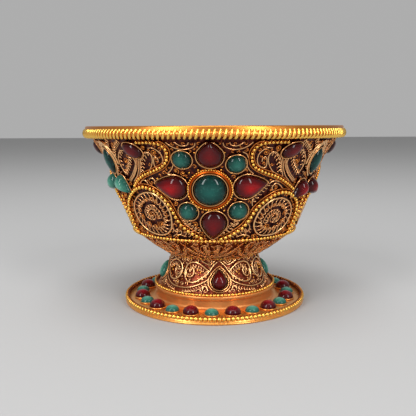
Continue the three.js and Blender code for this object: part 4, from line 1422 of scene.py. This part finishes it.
def calyx_work():
    """The garland round the calyx"""
    swag_wire, curl, granule, largest_scroll = 0.24 * MM, 0.8, 0.3 * MM, 0.9 * MM
    work = Work(CALYX)
    for loop in range(CALYX_LOOPS):
        angle = PANEL_TURN + loop * 2 * math.pi / CALYX_LOOPS
        for side in (-1, 1):
            work.wire(work.line(CALYX_SWAG, side), size=swag_wire, turn=angle)
            for marks in CALYX_STROKES:
                work.wire(work.line(marks, side), turn=angle)
            for marks in CALYX_COMBS:
                work.comb(work.line(marks, side), side * curl, angle)
            for spot in CALYX.flat(CALYX_GRANULES, side):
                work.dot(spot, granule, angle)
    work.fill(math.pi * CALYX.reference, [], largest_scroll)
    for piece in work.pieces("calyx"):
        settled(piece, "gilt_wire", "calyx_filigree")


def plate_stones():
    """The small stones of the foot, green and red in turn, each in a thin bezel"""
    count = 24
    margin = 4 * MM
    girdle, bezel_width, bezel_level = 0.35 * MM, 0.4 * MM, 0.3 * MM
    kinds = (("green", PALE_GREEN, 2.15 * MM, 1.35 * MM), ("red", PALE_RED, 2.5 * MM, 2.0 * MM))
    ring = (collar_reach + plate_radius - edge_bead_size) / 2
    plate = Wall((ring + margin, plate_top), (ring, plate_top), (ring - margin, plate_top))
    gems, rings = {"green": [], "red": []}, []
    for index in range(count):
        kind, finish, radius, dome = kinds[index % len(kinds)]
        angle = PANEL_TURN + index * 2 * math.pi / count
        setting = Setting(plate, (0, margin), 0.0, round_outline(radius), dome, finish, girdle)
        gems[kind].append(cabochon("gem", setting, angle))
        rings.append(bezel(setting, angle, 0.0, bezel_width, bezel_level, EDGE))
    for kind, found in gems.items():
        settled(joined(f"foot_stones_{kind}", found), f"{kind}_stone", "foot_plate")
    settled(joined("foot_bezels", rings), "gilt_metal", "foot_plate")


foot_plate()
foot_collar()
bead_rings()
plate_stones()
stem_sleeve()
stem_work()
calyx_work()
inner_cup()
rim_rope()
add_panels()


# Stage, light and camera

def photo_camera():
    """The camera that the photograph was taken with, fitted to the cup's rings"""
    photo_width = 416
    focal_pixels = 580
    eye = Vector((0, -195.2 * MM, 58.3 * MM))
    pitch, yaw, roll = math.radians(7.98), math.radians(-0.624), math.radians(-0.254)
    forward = Vector((math.sin(yaw) * math.cos(pitch), math.cos(yaw) * math.cos(pitch), -math.sin(pitch)))
    level = Vector((math.cos(yaw), -math.sin(yaw), 0))
    upright = level.cross(forward)
    right = math.cos(roll) * level + math.sin(roll) * upright
    up = math.cos(roll) * upright - math.sin(roll) * level
    data = bpy.data.cameras.new("photo_camera")
    data.sensor_width = 36
    data.lens = focal_pixels / photo_width * data.sensor_width
    data.clip_start = 0.01
    data.clip_end = 20
    camera = placed("photo_camera", data)
    camera.matrix_world = Matrix.Translation(eye) @ Matrix((right, up, -forward)).transposed().to_4x4()
    bpy.context.scene.camera = camera


def softbox(name, place, width, height, watts):
    """A soft area light that faces the cup"""
    data = bpy.data.lights.new(name, "AREA")
    data.shape = "RECTANGLE"
    data.size, data.size_y, data.energy = width, height, watts
    lamp = placed(name, data)
    lamp.location = place
    lamp.rotation_mode = "QUATERNION"
    lamp.rotation_quaternion = (Vector((0, 0, rim_level / 2)) - Vector(place)).to_track_quat("-Z", "Y")


def stage():
    """A plain pale floor, a pale surround and soft studio light"""
    reach = 3.0
    floor_grey, surround_grey = 0.45, 0.42
    finish = Finish("pale_floor", Roughness=0.85, Specular_IOR_Level=0.2)
    finish.set("Base Color", (floor_grey, floor_grey, floor_grey, 1))
    corners = [(-reach, -reach, 0), (reach, -reach, 0), (reach, reach, 0), (-reach, reach, 0)]
    solid("floor", corners, [[0, 1, 2, 3]], finish.material)
    world = bpy.data.worlds.new("surround")
    world.use_nodes = True
    sky = world.node_tree.nodes["Background"]
    sky.inputs["Color"].default_value = (surround_grey, surround_grey, surround_grey, 1)
    bpy.context.scene.world = world
    softbox("left_softbox", (-0.5, -0.6, 0.45), width=0.16, height=0.7, watts=4.5)
    softbox("right_softbox", (0.45, -0.6, 0.4), width=0.14, height=0.6, watts=3.2)
    softbox("top_softbox", (0.0, -0.15, 0.9), width=0.6, height=0.6, watts=4.5)


stage()
photo_camera()
bpy.context.scene.view_settings.view_transform = "Standard"
